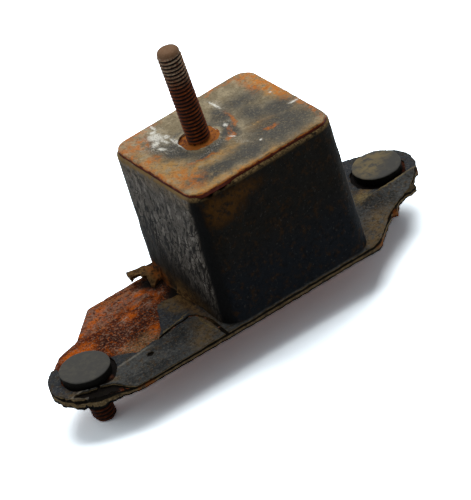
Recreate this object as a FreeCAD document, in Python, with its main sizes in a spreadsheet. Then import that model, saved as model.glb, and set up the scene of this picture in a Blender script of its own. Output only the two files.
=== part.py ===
import FreeCAD
import Part
import os
import Sketcher

# A bonded rubber mount: a rubber block moulded on a pressed steel base plate,
# with a steel plate and a threaded stud bonded to its top. Two bolts with flat
# round heads hang through the ears of the base plate.
# Origin: midway between the two bolts, on the underside of the base plate.
# X runs along the base plate, Z points up along the top stud. Millimetres.

SHEET = "Sizes"

SIZES = [
    ("bolt_reach", 74.8, "bolt axis from the origin, along X"),
    ("bolt_side", 9.4, "bolt axis from the origin, along Y"),
    ("base_gauge", 1.8, "thickness of the base plate"),
    ("base_half_width", 30.0, "long edge of the base plate from the X axis"),
    ("shoulder_setback", 10.8, "far corner of each long edge short of its bolt, along X"),
    ("waist_reach", 47.0, "near corner of each long edge from the Y axis"),
    ("notch_setback", 9.3, "inner corner between waist and ear, short of the bolt along X"),
    ("notch_aside", 23.7, "the same corner beside the bolt, along Y"),
    ("ear_overhang", 1.7, "outer corner of the ear, past the bolt along X"),
    ("ear_aside", 19.2, "the same corner beside the bolt, along Y"),
    ("lobe_radius", 14.8, "round end of each ear, about its bolt"),
    ("shoulder_round", 8.0, "corner radius at the shoulders"),
    ("waist_round", 9.0, "corner radius at the waists"),
    ("notch_round", 8.0, "corner radius in the notches"),
    ("ear_round", 5.0, "corner radius at the ears"),
    ("fold_at_left_bolt", 16.6, "front fold from the X axis, beside the left bolt"),
    ("fold_at_right_bolt", 1.4, "front fold from the X axis, beside the right bolt"),
    ("fold_back", 17.0, "back fold from the X axis"),
    ("front_drop_left", 1.6, "fall of the front flange at the left end"),
    ("front_drop_right", 0.2, "fall of the front flange at the right end"),
    ("back_drop", 0.5, "fall of the back flange"),
    ("stock_overrun", 3.0, "sheet left past the outline before it is trimmed"),
    ("skin_gauge", 0.8, "rubber skin over the base plate"),
    ("bolt_head_radius", 10.0, "flat round head of a base bolt"),
    ("bolt_head_height", 4.4, "head of a base bolt above the steel"),
    ("bolt_neck_radius", 5.0, "pressed neck of a base bolt, in the plate"),
    ("bolt_shank_radius", 4.7, "threaded shank of a base bolt"),
    ("bolt_length", 18.0, "shank below the underside of the base plate"),
    ("bolt_fit", 0.1, "radial clearance of a neck or head in its hole"),
    ("head_bevel", 0.5, "bevelled edge of a bolt head"),
    ("tip_chamfer", 1.2, "chamfer at the tip of each thread"),
    ("foot_length", 68.4, "rubber block at its foot, along X"),
    ("foot_centre", 11.5, "middle of the block's foot, along X"),
    ("foot_setback", 0.2, "block's foot inside the edge of the skin"),
    ("foot_round", 8.5, "corner radius at the foot"),
    ("block_height", 59.5, "top of the rubber above the underside of the base"),
    ("rubber_margin", 1.0, "rubber proud of the top plate all round"),
    ("plate_length", 65.1, "top plate along its own X"),
    ("plate_width", 57.5, "top plate along its own Y"),
    ("plate_gauge", 2.3, "thickness of the top plate"),
    ("plate_round", 6.5, "corner radius of the top plate"),
    ("plate_edge", 1.0, "rolled upper edge of the top plate"),
    ("plate_x", 10.6, "middle of the top plate, along X"),
    ("plate_y", 0.55, "middle of the top plate, along Y"),
    ("plate_yaw", 2.2, "turn of the top plate about Z, degrees"),
    ("stud_x", 1.8, "top stud axis, along X"),
    ("stud_y", 4.2, "top stud axis, along Y"),
    ("stud_radius", 4.7, "top stud over its thread"),
    ("stud_reach", 41.5, "top stud above the top plate"),
    ("stud_head_radius", 10.0, "flat head of the stud, under the plate"),
    ("stud_head_height", 3.0, "thickness of that head"),
    ("stud_hole_gap", 2.4, "radial gap between the stud and its hole"),
    ("lip_width", 1.7, "width of the raised lip round the hole"),
    ("lip_height", 0.7, "height of the lip above the top plate"),
]

# Edge of the torn skin at the back left, each point as (along X, along Y)
# in words of the sheet: from the block's left side, round the bare steel,
# under the head of the left bolt and out past the end of the ear.
TEAR = [
    ("foot_centre - foot_length / 2 + 3", "8.2"),
    ("foot_centre - foot_length / 2 - 5.6", "7.9"),
    ("foot_centre - foot_length / 2 - 9.2", "7.3"),
    ("foot_centre - foot_length / 2 - 12.1", "1.9"),
    ("foot_centre - foot_length / 2 - 15.3", "-4.0"),
    ("foot_centre - foot_length / 2 - 18.6", "-11.6"),
    ("foot_centre - foot_length / 2 - 21.2", "-12.9"),
    ("20.5 - bolt_reach", "-bolt_side - 3.8"),
    ("13.0 - bolt_reach", "-bolt_side + 2.0"),
    ("8.0 - bolt_reach", "-bolt_side + 1.6"),
    ("-5.2 - bolt_reach", "-bolt_side + 6.8"),
    ("-7.6 - bolt_reach", "-bolt_side + 12.0"),
    ("-bolt_reach - lobe_radius - 3", "-bolt_side + 15.0"),
    ("-bolt_reach - lobe_radius - 3", "base_half_width + stock_overrun"),
    ("foot_centre - foot_length / 2 + 3", "base_half_width + stock_overrun"),
]

doc = FreeCAD.newDocument("gearbox_mount")
sheet = doc.addObject("Spreadsheet::Sheet", SHEET)
for row, (alias, value, meaning) in enumerate(SIZES, start=1):
    sheet.set("A%d" % row, meaning)
    sheet.set("B%d" % row, str(value))
    sheet.setAlias("B%d" % row, alias)
doc.recompute()

WORDS = sorted((alias for alias, value, meaning in SIZES), key=len, reverse=True)
NUMBERS = {alias: float(getattr(sheet, alias)) for alias in WORDS}


def term(words):
    """Rewrite a formula in the sheet's words as an expression that reads the sheet."""
    out = []
    for piece in words.replace("(", " ( ").replace(")", " ) ").split():
        sign = "-" if piece.startswith("-") and piece[1:] in NUMBERS else ""
        name = piece[len(sign):]
        out.append(sign + SHEET + "." + name if name in NUMBERS else piece)
    return " ".join(out)


def bind(thing, prop, words):
    """Tie a property of an object to a formula in the sheet's words."""
    thing.setExpression(prop, term(words))


def new_body(label):
    """Start a body whose label names its file."""
    body = doc.addObject("PartDesign::Body", label)
    body.Label = label
    return body


def origin_plane(body, role):
    """Find one of a body's own origin planes."""
    return next(item for item in body.Origin.OriginFeatures if item.Role == role)


def new_sketch(body, name, role, lift=None, east=None, north=None, turn=None):
    """Attach a sketch to a body's plane, lifted, shifted and turned by the sheet."""
    sketch = body.newObject("Sketcher::SketchObject", name)
    sketch.AttachmentSupport = [(origin_plane(body, role), "")]
    sketch.MapMode = "FlatFace"
    for prop, words in (("Base.z", lift), ("Base.x", east), ("Base.y", north)):
        if words:
            bind(sketch, "AttachmentOffset." + prop, words)
    if turn:
        bind(sketch, "AttachmentOffset.Rotation.Angle", turn)
    doc.recompute()
    return sketch


def number(words):
    """Work out a formula in the sheet's words, to start a sketch near its end."""
    probe = doc.addObject("App::FeaturePython", "probe")
    probe.addProperty("App::PropertyFloat", "value")
    bind(probe, "value", words)
    probe.recompute()
    value = probe.value
    doc.removeObject(probe.Name)
    return value


def point_of(pair):
    """Turn a pair of formulas into a sketch point."""
    return FreeCAD.Vector(number(pair[0]), number(pair[1]), 0)


def datum(sketch, words, kind, *where):
    """Add a measured constraint and tie it to a formula in the sheet's words."""
    index = sketch.addConstraint(Sketcher.Constraint(kind, *where, number(words)))
    sketch.setExpression("Constraints[%d]" % index, term(words))
    return index


def pin_point(sketch, geometry, end, pair):
    """Hold one end of a sketch element at a place given by two formulas."""
    datum(sketch, pair[0], "DistanceX", -1, 1, geometry, end)
    datum(sketch, pair[1], "DistanceY", -1, 1, geometry, end)


def draw_polygon(sketch, pairs):
    """Draw a closed outline of straight lines through the given places."""
    points = [point_of(pair) for pair in pairs]
    lines = []
    for here, there in zip(points, points[1:] + points[:1]):
        lines.append(sketch.addGeometry(Part.LineSegment(here, there), False))
    for line, following in zip(lines, lines[1:] + lines[:1]):
        sketch.addConstraint(Sketcher.Constraint("Coincident", line, 2, following, 1))
    for line, pair in zip(lines, pairs):
        pin_point(sketch, line, 1, pair)


def draw_circle(sketch, radius, east="0", north="0"):
    """Draw a circle about a place given by two formulas."""
    ring = Part.Circle(point_of((east, north)), FreeCAD.Vector(0, 0, 1), number(radius))
    index = sketch.addGeometry(ring, False)
    pin_point(sketch, index, 3, (east, north))
    datum(sketch, radius, "Radius", index)


def draw_round_rectangle(sketch, length, width, radius):
    """Draw a rectangle with round corners, centred on the sketch's origin."""
    reach = number(length) / 2
    side = number(width) / 2
    bend = number(radius)
    lines = []
    arcs = []
    corners = [(1, -1, -90), (1, 1, 0), (-1, 1, 90), (-1, -1, 180)]
    runs = [((-1, -1), (1, -1)), ((1, -1), (1, 1)), ((1, 1), (-1, 1)), ((-1, 1), (-1, -1))]
    for index, (start, end) in enumerate(runs):
        flat = index % 2 == 0
        inset_x = bend if flat else 0
        inset_y = 0 if flat else bend
        here = FreeCAD.Vector(start[0] * (reach - inset_x), start[1] * (side - inset_y), 0)
        there = FreeCAD.Vector(end[0] * (reach - inset_x), end[1] * (side - inset_y), 0)
        lines.append(sketch.addGeometry(Part.LineSegment(here, there), False))
    for east, north, angle in corners:
        centre = FreeCAD.Vector(east * (reach - bend), north * (side - bend), 0)
        circle = Part.Circle(centre, FreeCAD.Vector(0, 0, 1), bend)
        first = FreeCAD.Units.Quantity(angle, FreeCAD.Units.Angle).getValueAs("rad").Value
        last = FreeCAD.Units.Quantity(angle + 90, FreeCAD.Units.Angle).getValueAs("rad").Value
        arcs.append(sketch.addGeometry(Part.ArcOfCircle(circle, first, last), False))
    for index in range(4):
        following = lines[(index + 1) % 4]
        sketch.addConstraint(Sketcher.Constraint("Tangent", lines[index], 2, arcs[index], 1))
        sketch.addConstraint(Sketcher.Constraint("Tangent", arcs[index], 2, following, 1))
    for index in range(4):
        kind = "Horizontal" if index % 2 == 0 else "Vertical"
        sketch.addConstraint(Sketcher.Constraint(kind, lines[index]))
    for arc in arcs[1:]:
        sketch.addConstraint(Sketcher.Constraint("Equal", arcs[0], arc))
    datum(sketch, radius, "Radius", arcs[0])
    half_length = "( " + length + " ) / 2"
    half_width = "( " + width + " ) / 2"
    datum(sketch, half_length, "DistanceX", -1, 1, lines[1], 1)
    datum(sketch, half_length, "DistanceX", lines[3], 1, -1, 1)
    datum(sketch, half_width, "DistanceY", -1, 1, lines[2], 1)
    datum(sketch, half_width, "DistanceY", lines[0], 1, -1, 1)


def corner_places(margin):
    """Name and place the front corners of the base's outline, grown by a margin."""
    edge = "-base_half_width - " + margin
    return [
        ("shoulder", ("shoulder_setback - bolt_reach - " + margin + " * 0.3", edge)),
        ("waist", ("waist_reach + " + margin + " * 0.4", edge)),
        ("notch", (
            "bolt_reach - notch_setback + " + margin + " * 0.5",
            "bolt_side - notch_aside - " + margin)),
        ("ear", (
            "bolt_reach + ear_overhang + " + margin + " * 0.6",
            "bolt_side - ear_aside - " + margin)),
    ]


def base_outline(sketch, margin):
    """Draw the base's outline, the same seen from either end, grown by a margin.

    Each long edge runs from a shoulder to a waist, then a slanted edge, a notch
    and an ear lead to the round lobe about the bolt.
    """
    near = [pair for name, pair in corner_places(margin)]
    centre = ("bolt_reach", "bolt_side")
    radius = number("lobe_radius + " + margin)
    hub = point_of(centre)
    shoulder, waist, notch, ear = [point_of(pair) for pair in near]

    def touch(outer, side):
        """Find where a line from an outer point touches the lobe."""
        offset = outer - hub
        lean = FreeCAD.Vector(-offset.y, offset.x, 0)
        ratio = radius / offset.Length
        along = offset * (ratio * ratio)
        across = lean * (side * ratio * (1 - ratio * ratio) ** 0.5)
        return hub + along + across

    low = touch(ear, 1)
    high = touch(shoulder * -1, -1)

    def angle_of(place, about):
        """Give the direction of a place seen from a centre, in radians."""
        offset = place - about
        turn = FreeCAD.Vector(1, 0, 0).getAngle(offset)
        return turn if offset.y >= 0 else -turn

    def half(sign):
        """Draw one half: long edge, slanted edge, ledge, ear edge, lobe, shoulder edge."""
        places = [shoulder * sign, waist * sign, notch * sign, ear * sign, low * sign]
        runs = []
        for here, there in zip(places, places[1:]):
            runs.append(sketch.addGeometry(Part.LineSegment(here, there), False))
        circle = Part.Circle(hub * sign, FreeCAD.Vector(0, 0, 1), radius)
        first = angle_of(low * sign, hub * sign)
        last = angle_of(high * sign, hub * sign)
        runs.append(sketch.addGeometry(Part.ArcOfCircle(circle, first, last), False))
        closing = Part.LineSegment(high * sign, shoulder * -sign)
        runs.append(sketch.addGeometry(closing, False))
        for here, there in zip(runs[:3], runs[1:4]):
            sketch.addConstraint(Sketcher.Constraint("Coincident", here, 2, there, 1))
        sketch.addConstraint(Sketcher.Constraint("Tangent", runs[3], 2, runs[4], 1))
        sketch.addConstraint(Sketcher.Constraint("Tangent", runs[4], 2, runs[5], 1))
        return runs

    right = half(1)
    left = half(-1)
    sketch.addConstraint(Sketcher.Constraint("Coincident", right[5], 2, left[0], 1))
    sketch.addConstraint(Sketcher.Constraint("Coincident", left[5], 2, right[0], 1))
    for run, pair in zip(right[:4], near):
        pin_point(sketch, run, 1, pair)
    pin_point(sketch, right[4], 3, centre)
    datum(sketch, "lobe_radius + " + margin, "Radius", right[4])
    sketch.addConstraint(Sketcher.Constraint("Equal", right[4], left[4]))
    for here, there in zip(right[:4], left[:4]):
        sketch.addConstraint(Sketcher.Constraint("Symmetric", here, 1, there, 1, -1, 1))
    sketch.addConstraint(Sketcher.Constraint("Symmetric", right[4], 3, left[4], 3, -1, 1))


def bent_sheet(body, over):
    """Build the sheet from a flat web and two flanges that fall away at its folds.

    The back fold runs along X. The front fold lies beside the line of the bolts,
    so the front flange is lofted between its two ends.
    """
    reach = "( bolt_reach + lobe_radius + stock_overrun )"
    width = "( base_half_width + stock_overrun )"
    top = "base_gauge" + over
    middle = "( fold_at_left_bolt + fold_at_right_bolt ) / 2"
    swing = "( fold_at_left_bolt - fold_at_right_bolt ) / 2 * " + reach + " / bolt_reach"
    ends = [
        ("_left_flange", "0 - " + reach, "0 - " + middle + " - " + swing, "front_drop_left"),
        ("_right_flange", reach, "0 - " + middle + " + " + swing, "front_drop_right"),
    ]
    web = new_sketch(body, body.Label + "_web", "XY_Plane")
    draw_polygon(web, [
        (ends[0][1], ends[0][2]),
        (ends[1][1], ends[1][2]),
        (reach, "fold_back"),
        ("0 - " + reach, "fold_back"),
    ])
    flat = body.newObject("PartDesign::Pad", body.Label + "_flat")
    flat.Profile = web
    bind(flat, "Length", top)
    doc.recompute()
    back = new_sketch(body, body.Label + "_back_section", "YZ_Plane")
    draw_polygon(back, [
        ("fold_back", "0"),
        (width, "0 - back_drop"),
        (width, top + " - back_drop"),
        ("fold_back", top),
    ])
    flange = body.newObject("PartDesign::Pad", body.Label + "_back_flange")
    flange.Profile = back
    flange.Midplane = True
    bind(flange, "Length", "2 * " + reach)
    doc.recompute()
    sections = []
    for name, along, fold, fall in ends:
        section = new_sketch(body, body.Label + name, "YZ_Plane", lift=along)
        draw_polygon(section, [
            ("0 - " + width, "0 - " + fall),
            (fold, "0"),
            (fold, top),
            ("0 - " + width, top + " - " + fall),
        ])
        sections.append(section)
    loft = body.newObject("PartDesign::AdditiveLoft", body.Label + "_front_flange")
    loft.Profile = sections[0]
    loft.Sections = sections[1:]
    loft.Ruled = True
    doc.recompute()


def trim_to_outline(body, margin):
    """Cut away all of the sheet that lies outside the base's outline."""
    trim = new_sketch(body, body.Label + "_outline", "XY_Plane")
    base_outline(trim, margin)
    far = "bolt_reach + lobe_radius + stock_overrun * 3"
    wide = "base_half_width + stock_overrun * 3"
    draw_polygon(trim, [
        ("0 - ( " + far + " )", "0 - ( " + wide + " )"),
        (far, "0 - ( " + wide + " )"),
        (far, wide),
        ("0 - ( " + far + " )", wide),
    ])
    return cut_through(body, trim, "_trim")


def cut_through(body, sketch, suffix):
    """Cut a sketch through the whole body, up and down."""
    pocket = body.newObject("PartDesign::Pocket", body.Label + suffix)
    pocket.Profile = sketch
    pocket.Type = "ThroughAll"
    pocket.Midplane = True
    doc.recompute()
    return pocket


def upright_edges(shape, place, near):
    """Name the upright edges of a shape that stand within a distance of a place."""
    names = []
    for index, edge in enumerate(shape.Edges, start=1):
        ends = [vertex.Point for vertex in edge.Vertexes]
        if len(ends) < 2:
            continue
        run = ends[1] - ends[0]
        upright = abs(run.z) > 0.5 * run.Length and abs(run.z) > 0.5
        beside = (FreeCAD.Vector(ends[0].x, ends[0].y, 0) - place).Length < near
        if upright and beside:
            names.append("Edge%d" % index)
    return names


def round_corners(body, base, margin):
    """Round the eight straight corners of the base's outline."""
    for name, pair in corner_places(margin):
        place = point_of(pair)
        edges = upright_edges(base.Shape, place, 1.0) + upright_edges(base.Shape, place * -1, 1.0)
        fillet = body.newObject("PartDesign::Fillet", body.Label + "_" + name + "s")
        fillet.Base = (base, edges)
        bind(fillet, "Radius", name + "_round")
        doc.recompute()
        base = fillet
    return base


def make_base_plate():
    """Pressed steel plate: shallow folds, ears for the bolts, two round holes."""
    body = new_body("base_plate")
    bent_sheet(body, "")
    trimmed = trim_to_outline(body, "0")
    round_corners(body, trimmed, "0")
    holes = new_sketch(body, "bolt_holes", "XY_Plane")
    draw_circle(holes, "bolt_neck_radius + bolt_fit", "bolt_reach", "bolt_side")
    draw_circle(holes, "bolt_neck_radius + bolt_fit", "0 - bolt_reach", "0 - bolt_side")
    cut_through(body, holes, "_holes")
    return body


def make_skin():
    """Rubber skin before the plate is taken out of it, torn open at the back left."""
    body = new_body("skin_over_plate")
    bent_sheet(body, " + skin_gauge")
    trimmed = trim_to_outline(body, "skin_gauge")
    round_corners(body, trimmed, "skin_gauge")
    tear = new_sketch(body, "tear", "XY_Plane")
    draw_polygon(tear, TEAR)
    cut_through(body, tear, "_tear")
    return body


def make_block():
    """Rubber block: its round-cornered foot lofted to a top that is turned with the plate."""
    body = new_body("rubber_block")
    width = "( base_half_width + skin_gauge - foot_setback ) * 2"
    foot = new_sketch(body, "foot_section", "XY_Plane", east="foot_centre")
    draw_round_rectangle(foot, "foot_length", width, "foot_round")
    top = new_sketch(
        body, "top_section", "XY_Plane", lift="block_height",
        east="plate_x", north="plate_y", turn="plate_yaw")
    draw_round_rectangle(
        top, "plate_length + rubber_margin * 2", "plate_width + rubber_margin * 2",
        "plate_round + rubber_margin")
    loft = body.newObject("PartDesign::AdditiveLoft", "block_loft")
    loft.Profile = foot
    loft.Sections = [top]
    loft.Ruled = True
    doc.recompute()
    return body


def make_top_plate():
    """Steel plate on the rubber: rolled upper edge, stud hole with a raised lip."""
    body = new_body("top_plate")
    outline = new_sketch(
        body, "plate_outline", "XY_Plane", lift="block_height",
        east="plate_x", north="plate_y", turn="plate_yaw")
    draw_round_rectangle(outline, "plate_length", "plate_width", "plate_round")
    slab = body.newObject("PartDesign::Pad", "plate_slab")
    slab.Profile = outline
    bind(slab, "Length", "plate_gauge")
    doc.recompute()
    top = max(range(len(slab.Shape.Faces)), key=lambda n: slab.Shape.Faces[n].CenterOfMass.z)
    rolled = body.newObject("PartDesign::Fillet", "rolled_edge")
    rolled.Base = (slab, ["Face%d" % (top + 1)])
    bind(rolled, "Radius", "plate_edge")
    doc.recompute()
    ring = new_sketch(
        body, "lip_ring", "XY_Plane", lift="block_height + plate_gauge / 2",
        east="stud_x", north="stud_y")
    draw_circle(ring, "stud_radius + stud_hole_gap + lip_width")
    lip = body.newObject("PartDesign::Pad", "lip")
    lip.Profile = ring
    bind(lip, "Length", "plate_gauge / 2 + lip_height")
    lip.TaperAngle = -30
    doc.recompute()
    bore = new_sketch(body, "stud_hole", "XY_Plane", east="stud_x", north="stud_y")
    draw_circle(bore, "stud_radius + stud_hole_gap")
    cut_through(body, bore, "_bore")
    return body


def turned_piece(label, profile):
    """Revolve a half profile of (radius, height) pairs about the piece's own Z axis."""
    body = new_body(label)
    half = new_sketch(body, label + "_profile", "XZ_Plane")
    draw_polygon(half, profile)
    turned = body.newObject("PartDesign::Revolution", label + "_turned")
    turned.Profile = half
    turned.ReferenceAxis = (half, ["V_Axis"])
    turned.Angle = 360
    doc.recompute()
    return body


def place(body, east, north, up):
    """Put a turned piece at a place given by three formulas."""
    bind(body, "Placement.Base.x", east)
    bind(body, "Placement.Base.y", north)
    bind(body, "Placement.Base.z", up)
    doc.recompute()


def make_bolt(label, sign):
    """Base bolt: flat round head on the steel, pressed neck, shank below the ear."""
    body = turned_piece(label, [
        ("0", "0 - bolt_length"),
        ("bolt_shank_radius - tip_chamfer", "0 - bolt_length"),
        ("bolt_shank_radius", "tip_chamfer - bolt_length"),
        ("bolt_shank_radius", "0"),
        ("bolt_neck_radius", "0"),
        ("bolt_neck_radius", "base_gauge"),
        ("bolt_head_radius", "base_gauge"),
        ("bolt_head_radius", "base_gauge + bolt_head_height - head_bevel"),
        ("bolt_head_radius - head_bevel", "base_gauge + bolt_head_height"),
        ("0", "base_gauge + bolt_head_height"),
    ])
    place(body, sign + "bolt_reach", sign + "bolt_side", "0")
    return body


def make_top_stud():
    """Top stud: flat head under the plate, shank with a chamfered tip."""
    tip = "stud_head_height + plate_gauge + stud_reach"
    body = turned_piece("top_stud", [
        ("0", "0"),
        ("stud_head_radius", "0"),
        ("stud_head_radius", "stud_head_height"),
        ("stud_radius", "stud_head_height"),
        ("stud_radius", tip + " - tip_chamfer"),
        ("stud_radius - tip_chamfer", tip),
        ("0", tip),
    ])
    place(body, "stud_x", "stud_y", "block_height - stud_head_height")
    return body


def head_clearance(name, sign):
    """Round opening that the skin leaves for the head of a bolt."""
    hole = doc.addObject("Part::Cylinder", name)
    bind(hole, "Radius", "bolt_head_radius + bolt_fit")
    bind(hole, "Height", "bolt_length + bolt_head_height + base_gauge")
    bind(hole, "Placement.Base.x", sign + "bolt_reach")
    bind(hole, "Placement.Base.y", sign + "bolt_side")
    bind(hole, "Placement.Base.z", "0 - bolt_length")
    return hole


def join(kind, name, pieces):
    """Fuse several shapes into one."""
    joined = doc.addObject(kind, name)
    joined.Shapes = pieces
    return joined


def make_rubber_body(base_plate, top_stud):
    """Block and skin as one moulding, less the steel that it is bonded round."""
    moulding = join("Part::MultiFuse", "moulding", [make_block(), make_skin()])
    steel = join("Part::MultiFuse", "bonded_steel", [
        base_plate,
        top_stud,
        head_clearance("left_head_opening", "-"),
        head_clearance("right_head_opening", ""),
    ])
    rubber = doc.addObject("Part::Cut", "rubber_body")
    rubber.Label = "rubber_body"
    rubber.Base = moulding
    rubber.Tool = steel
    doc.recompute()
    return rubber


def check_document():
    """Stop if any object failed or any finished shape is unsound."""
    for item in doc.Objects:
        state = " ".join(item.State)
        if "Invalid" in state or "Error" in state:
            raise RuntimeError("%s is %s" % (item.Label, state))


def check_pieces(pieces):
    """Stop if a finished piece is empty, unsound or in more than one lump."""
    for piece in pieces:
        shape = piece.Shape
        if shape.isNull() or not shape.isValid():
            raise RuntimeError("%s has no sound shape" % piece.Label)
        if len(shape.Solids) != 1:
            raise RuntimeError("%s has %d solids" % (piece.Label, len(shape.Solids)))


base_plate = make_base_plate()
top_stud = make_top_stud()
pieces = [
    base_plate,
    make_rubber_body(base_plate, top_stud),
    make_top_plate(),
    top_stud,
    make_bolt("left_bolt", "-"),
    make_bolt("right_bolt", ""),
]
doc.recompute()
check_document()
check_pieces(pieces)
os.makedirs("parts", exist_ok=True)
for piece in pieces:
    piece.Shape.exportStep("parts/%s.step" % piece.Label)
    box = piece.Shape.BoundBox
    print("%-12s volume %9.1f  x %.2f %.2f  y %.2f %.2f  z %.2f %.2f" % (
        piece.Label, piece.Shape.Volume, box.XMin, box.XMax, box.YMin, box.YMax, box.ZMin, box.ZMax))
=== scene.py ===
"""Visual model of a worn bonded rubber mount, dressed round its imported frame.

Lengths are millimetres until a mesh is handed over. X runs along the base plate, Z
points up along the top stud, and the origin lies midway between the two base bolts.
"""

import logging
import math
from collections.abc import Callable, Sequence
from dataclasses import dataclass, field
from enum import Enum

import bmesh
import bpy
from mathutils import Euler, Matrix, Vector, noise


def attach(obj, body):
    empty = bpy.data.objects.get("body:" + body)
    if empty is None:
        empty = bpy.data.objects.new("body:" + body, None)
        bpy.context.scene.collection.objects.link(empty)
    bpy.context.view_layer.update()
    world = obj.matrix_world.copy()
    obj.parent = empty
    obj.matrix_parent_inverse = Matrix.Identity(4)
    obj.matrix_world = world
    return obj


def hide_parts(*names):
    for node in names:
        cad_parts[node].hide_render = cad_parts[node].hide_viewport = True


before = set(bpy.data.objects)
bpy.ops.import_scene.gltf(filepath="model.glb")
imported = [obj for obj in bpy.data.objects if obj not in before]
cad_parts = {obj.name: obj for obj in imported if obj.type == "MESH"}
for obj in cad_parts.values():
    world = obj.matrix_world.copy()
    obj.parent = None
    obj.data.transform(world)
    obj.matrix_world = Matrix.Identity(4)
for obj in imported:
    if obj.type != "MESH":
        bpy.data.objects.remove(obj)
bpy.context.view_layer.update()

METRES = 0.001
ROOT = "root"
ALONG = Vector((1, 0, 0))
ASIDE = Vector((0, 1, 0))
UP = Vector((0, 0, 1))
MERGE = 2e-3
log = logging.getLogger("rubber_mount")


class Slot(Enum):
    """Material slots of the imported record."""

    BASE_STEEL = "base_steel"
    RUBBER = "rubber"
    PLATE_STEEL = "plate_steel"
    STUD_STEEL = "stud_steel"
    BOLT_COATING = "bolt_coating"


# ---- plans and meshes


@dataclass(frozen=True)
class Corner:
    """One corner of a plan outline: its place and its rounding."""

    x: float
    y: float
    bend: float = 0.0

    def across(self) -> "Corner":
        """Return the corner that faces this one through the origin."""
        return Corner(-self.x, -self.y, self.bend)

    @property
    def place(self) -> Vector:
        """Place of the corner on the plan."""
        return Vector((self.x, self.y, 0))


def grain(place: Vector, size: float, octaves: int = 3, seed: float = 0.0) -> float:
    """Read smooth noise at a place.

    Args:
        place: Where to read it.
        size: Width of its largest lumps.
        octaves: How many finer layers lie on top.
        seed: Shifts the pattern.

    Returns:
        A value that is mostly between -1 and 1.
    """
    spot = place / size + Vector((seed, seed * 0.37, -seed))
    return noise.fractal(spot, 1.0, 2.0, octaves)


def ease(value: float, low: float, high: float) -> float:
    """Rise smoothly from 0 at low to 1 at high."""
    share = min(1.0, max(0.0, (value - low) / (high - low)))
    return share * share * (3 - 2 * share)


def plan_prism(corners: Sequence[Corner], low: float, high: float) -> bmesh.types.BMesh:
    """Raise a closed block on a plan outline.

    Args:
        corners: Outline, anticlockwise seen from above.
        low: Height of its underside.
        high: Height of its top.

    Returns:
        The block as a new mesh.
    """
    mesh = bmesh.new()
    verts = [mesh.verts.new((corner.x, corner.y, low)) for corner in corners]
    mesh.faces.new(verts)
    count = len(corners)
    for index, corner in enumerate(corners):
        if corner.bend <= 0:
            continue
        back = corners[index - 1].place - corner.place
        ahead = corners[(index + 1) % count].place - corner.place
        turn = math.pi - back.angle(ahead)
        bmesh.ops.bevel(
            mesh, geom=[verts[index]], offset=corner.bend * math.tan(turn / 2),
            offset_type="OFFSET", segments=max(3, round(turn * corner.bend / 1.3)),
            profile=0.5, affect="VERTICES", material=-1)
    raised = bmesh.ops.extrude_face_region(mesh, geom=mesh.faces[:])
    lifted = [item for item in raised["geom"] if isinstance(item, bmesh.types.BMVert)]
    bmesh.ops.translate(mesh, verts=lifted, vec=UP * (high - low))
    bmesh.ops.recalc_face_normals(mesh, faces=mesh.faces[:])
    return mesh


def sharp(points: Sequence[tuple[float, float]]) -> list[Corner]:
    """Make an outline with sharp corners from its points."""
    return [Corner(x, y) for x, y in points]


def rectangle(length: float, width: float, bend: float) -> list[Corner]:
    """Lay out a rectangle round the origin.

    Args:
        length: Length along X.
        width: Width along Y.
        bend: Rounding of its corners.

    Returns:
        Its corners, anticlockwise seen from above.
    """
    reach, side = length / 2, width / 2
    return [Corner(-reach, -side, bend), Corner(reach, -side, bend),
            Corner(reach, side, bend), Corner(-reach, side, bend)]


def level_part(normal: Vector) -> Vector:
    """Return the part of a direction that lies level."""
    return Vector((normal.x, normal.y, 0))


def ribbon(line: Sequence[tuple[float, float, float]]) -> list[Corner]:
    """Give a line on the plan a width.

    Args:
        line: Points as (x, y, half width).

    Returns:
        The outline of the widened line.
    """
    points = [Vector((x, y, 0)) for x, y, _ in line]
    left, right = [], []
    for index, (x, y, half) in enumerate(line):
        ahead = points[min(index + 1, len(points) - 1)] - points[max(index - 1, 0)]
        side = UP.cross(ahead.normalized()) * half
        left.append(Corner(x + side.x, y + side.y))
        right.append(Corner(x - side.x, y - side.y))
    return right + left[::-1]


def cut_rows(
    mesh: bmesh.types.BMesh, axis: Vector, places: Sequence[float], above: float = -math.inf
) -> None:
    """Cut the faces of a mesh along planes that stand across an axis.

    Args:
        mesh: Mesh to cut.
        axis: Direction across the planes.
        places: Where the planes stand along it.
        above: Faces that reach below this height are left whole.
    """
    for place in places:
        faces = []
        for face in mesh.faces:
            along = [vert.co.dot(axis) for vert in face.verts]
            if min(along) < place < max(along) and min(
                    vert.co.z for vert in face.verts) > above:
                faces.append(face)
        edges = {edge for face in faces for edge in face.edges}
        verts = {vert for face in faces for vert in face.verts}
        bmesh.ops.bisect_plane(
            mesh, geom=list(verts) + list(edges) + faces, dist=1e-4,
            plane_co=axis * place, plane_no=axis)


def rows(low: float, high: float, step: float) -> list[float]:
    """List evenly spaced places between two ends."""
    count = max(1, round((high - low) / step))
    return [low + (high - low) * (index + 0.5) / count for index in range(count)]


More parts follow.
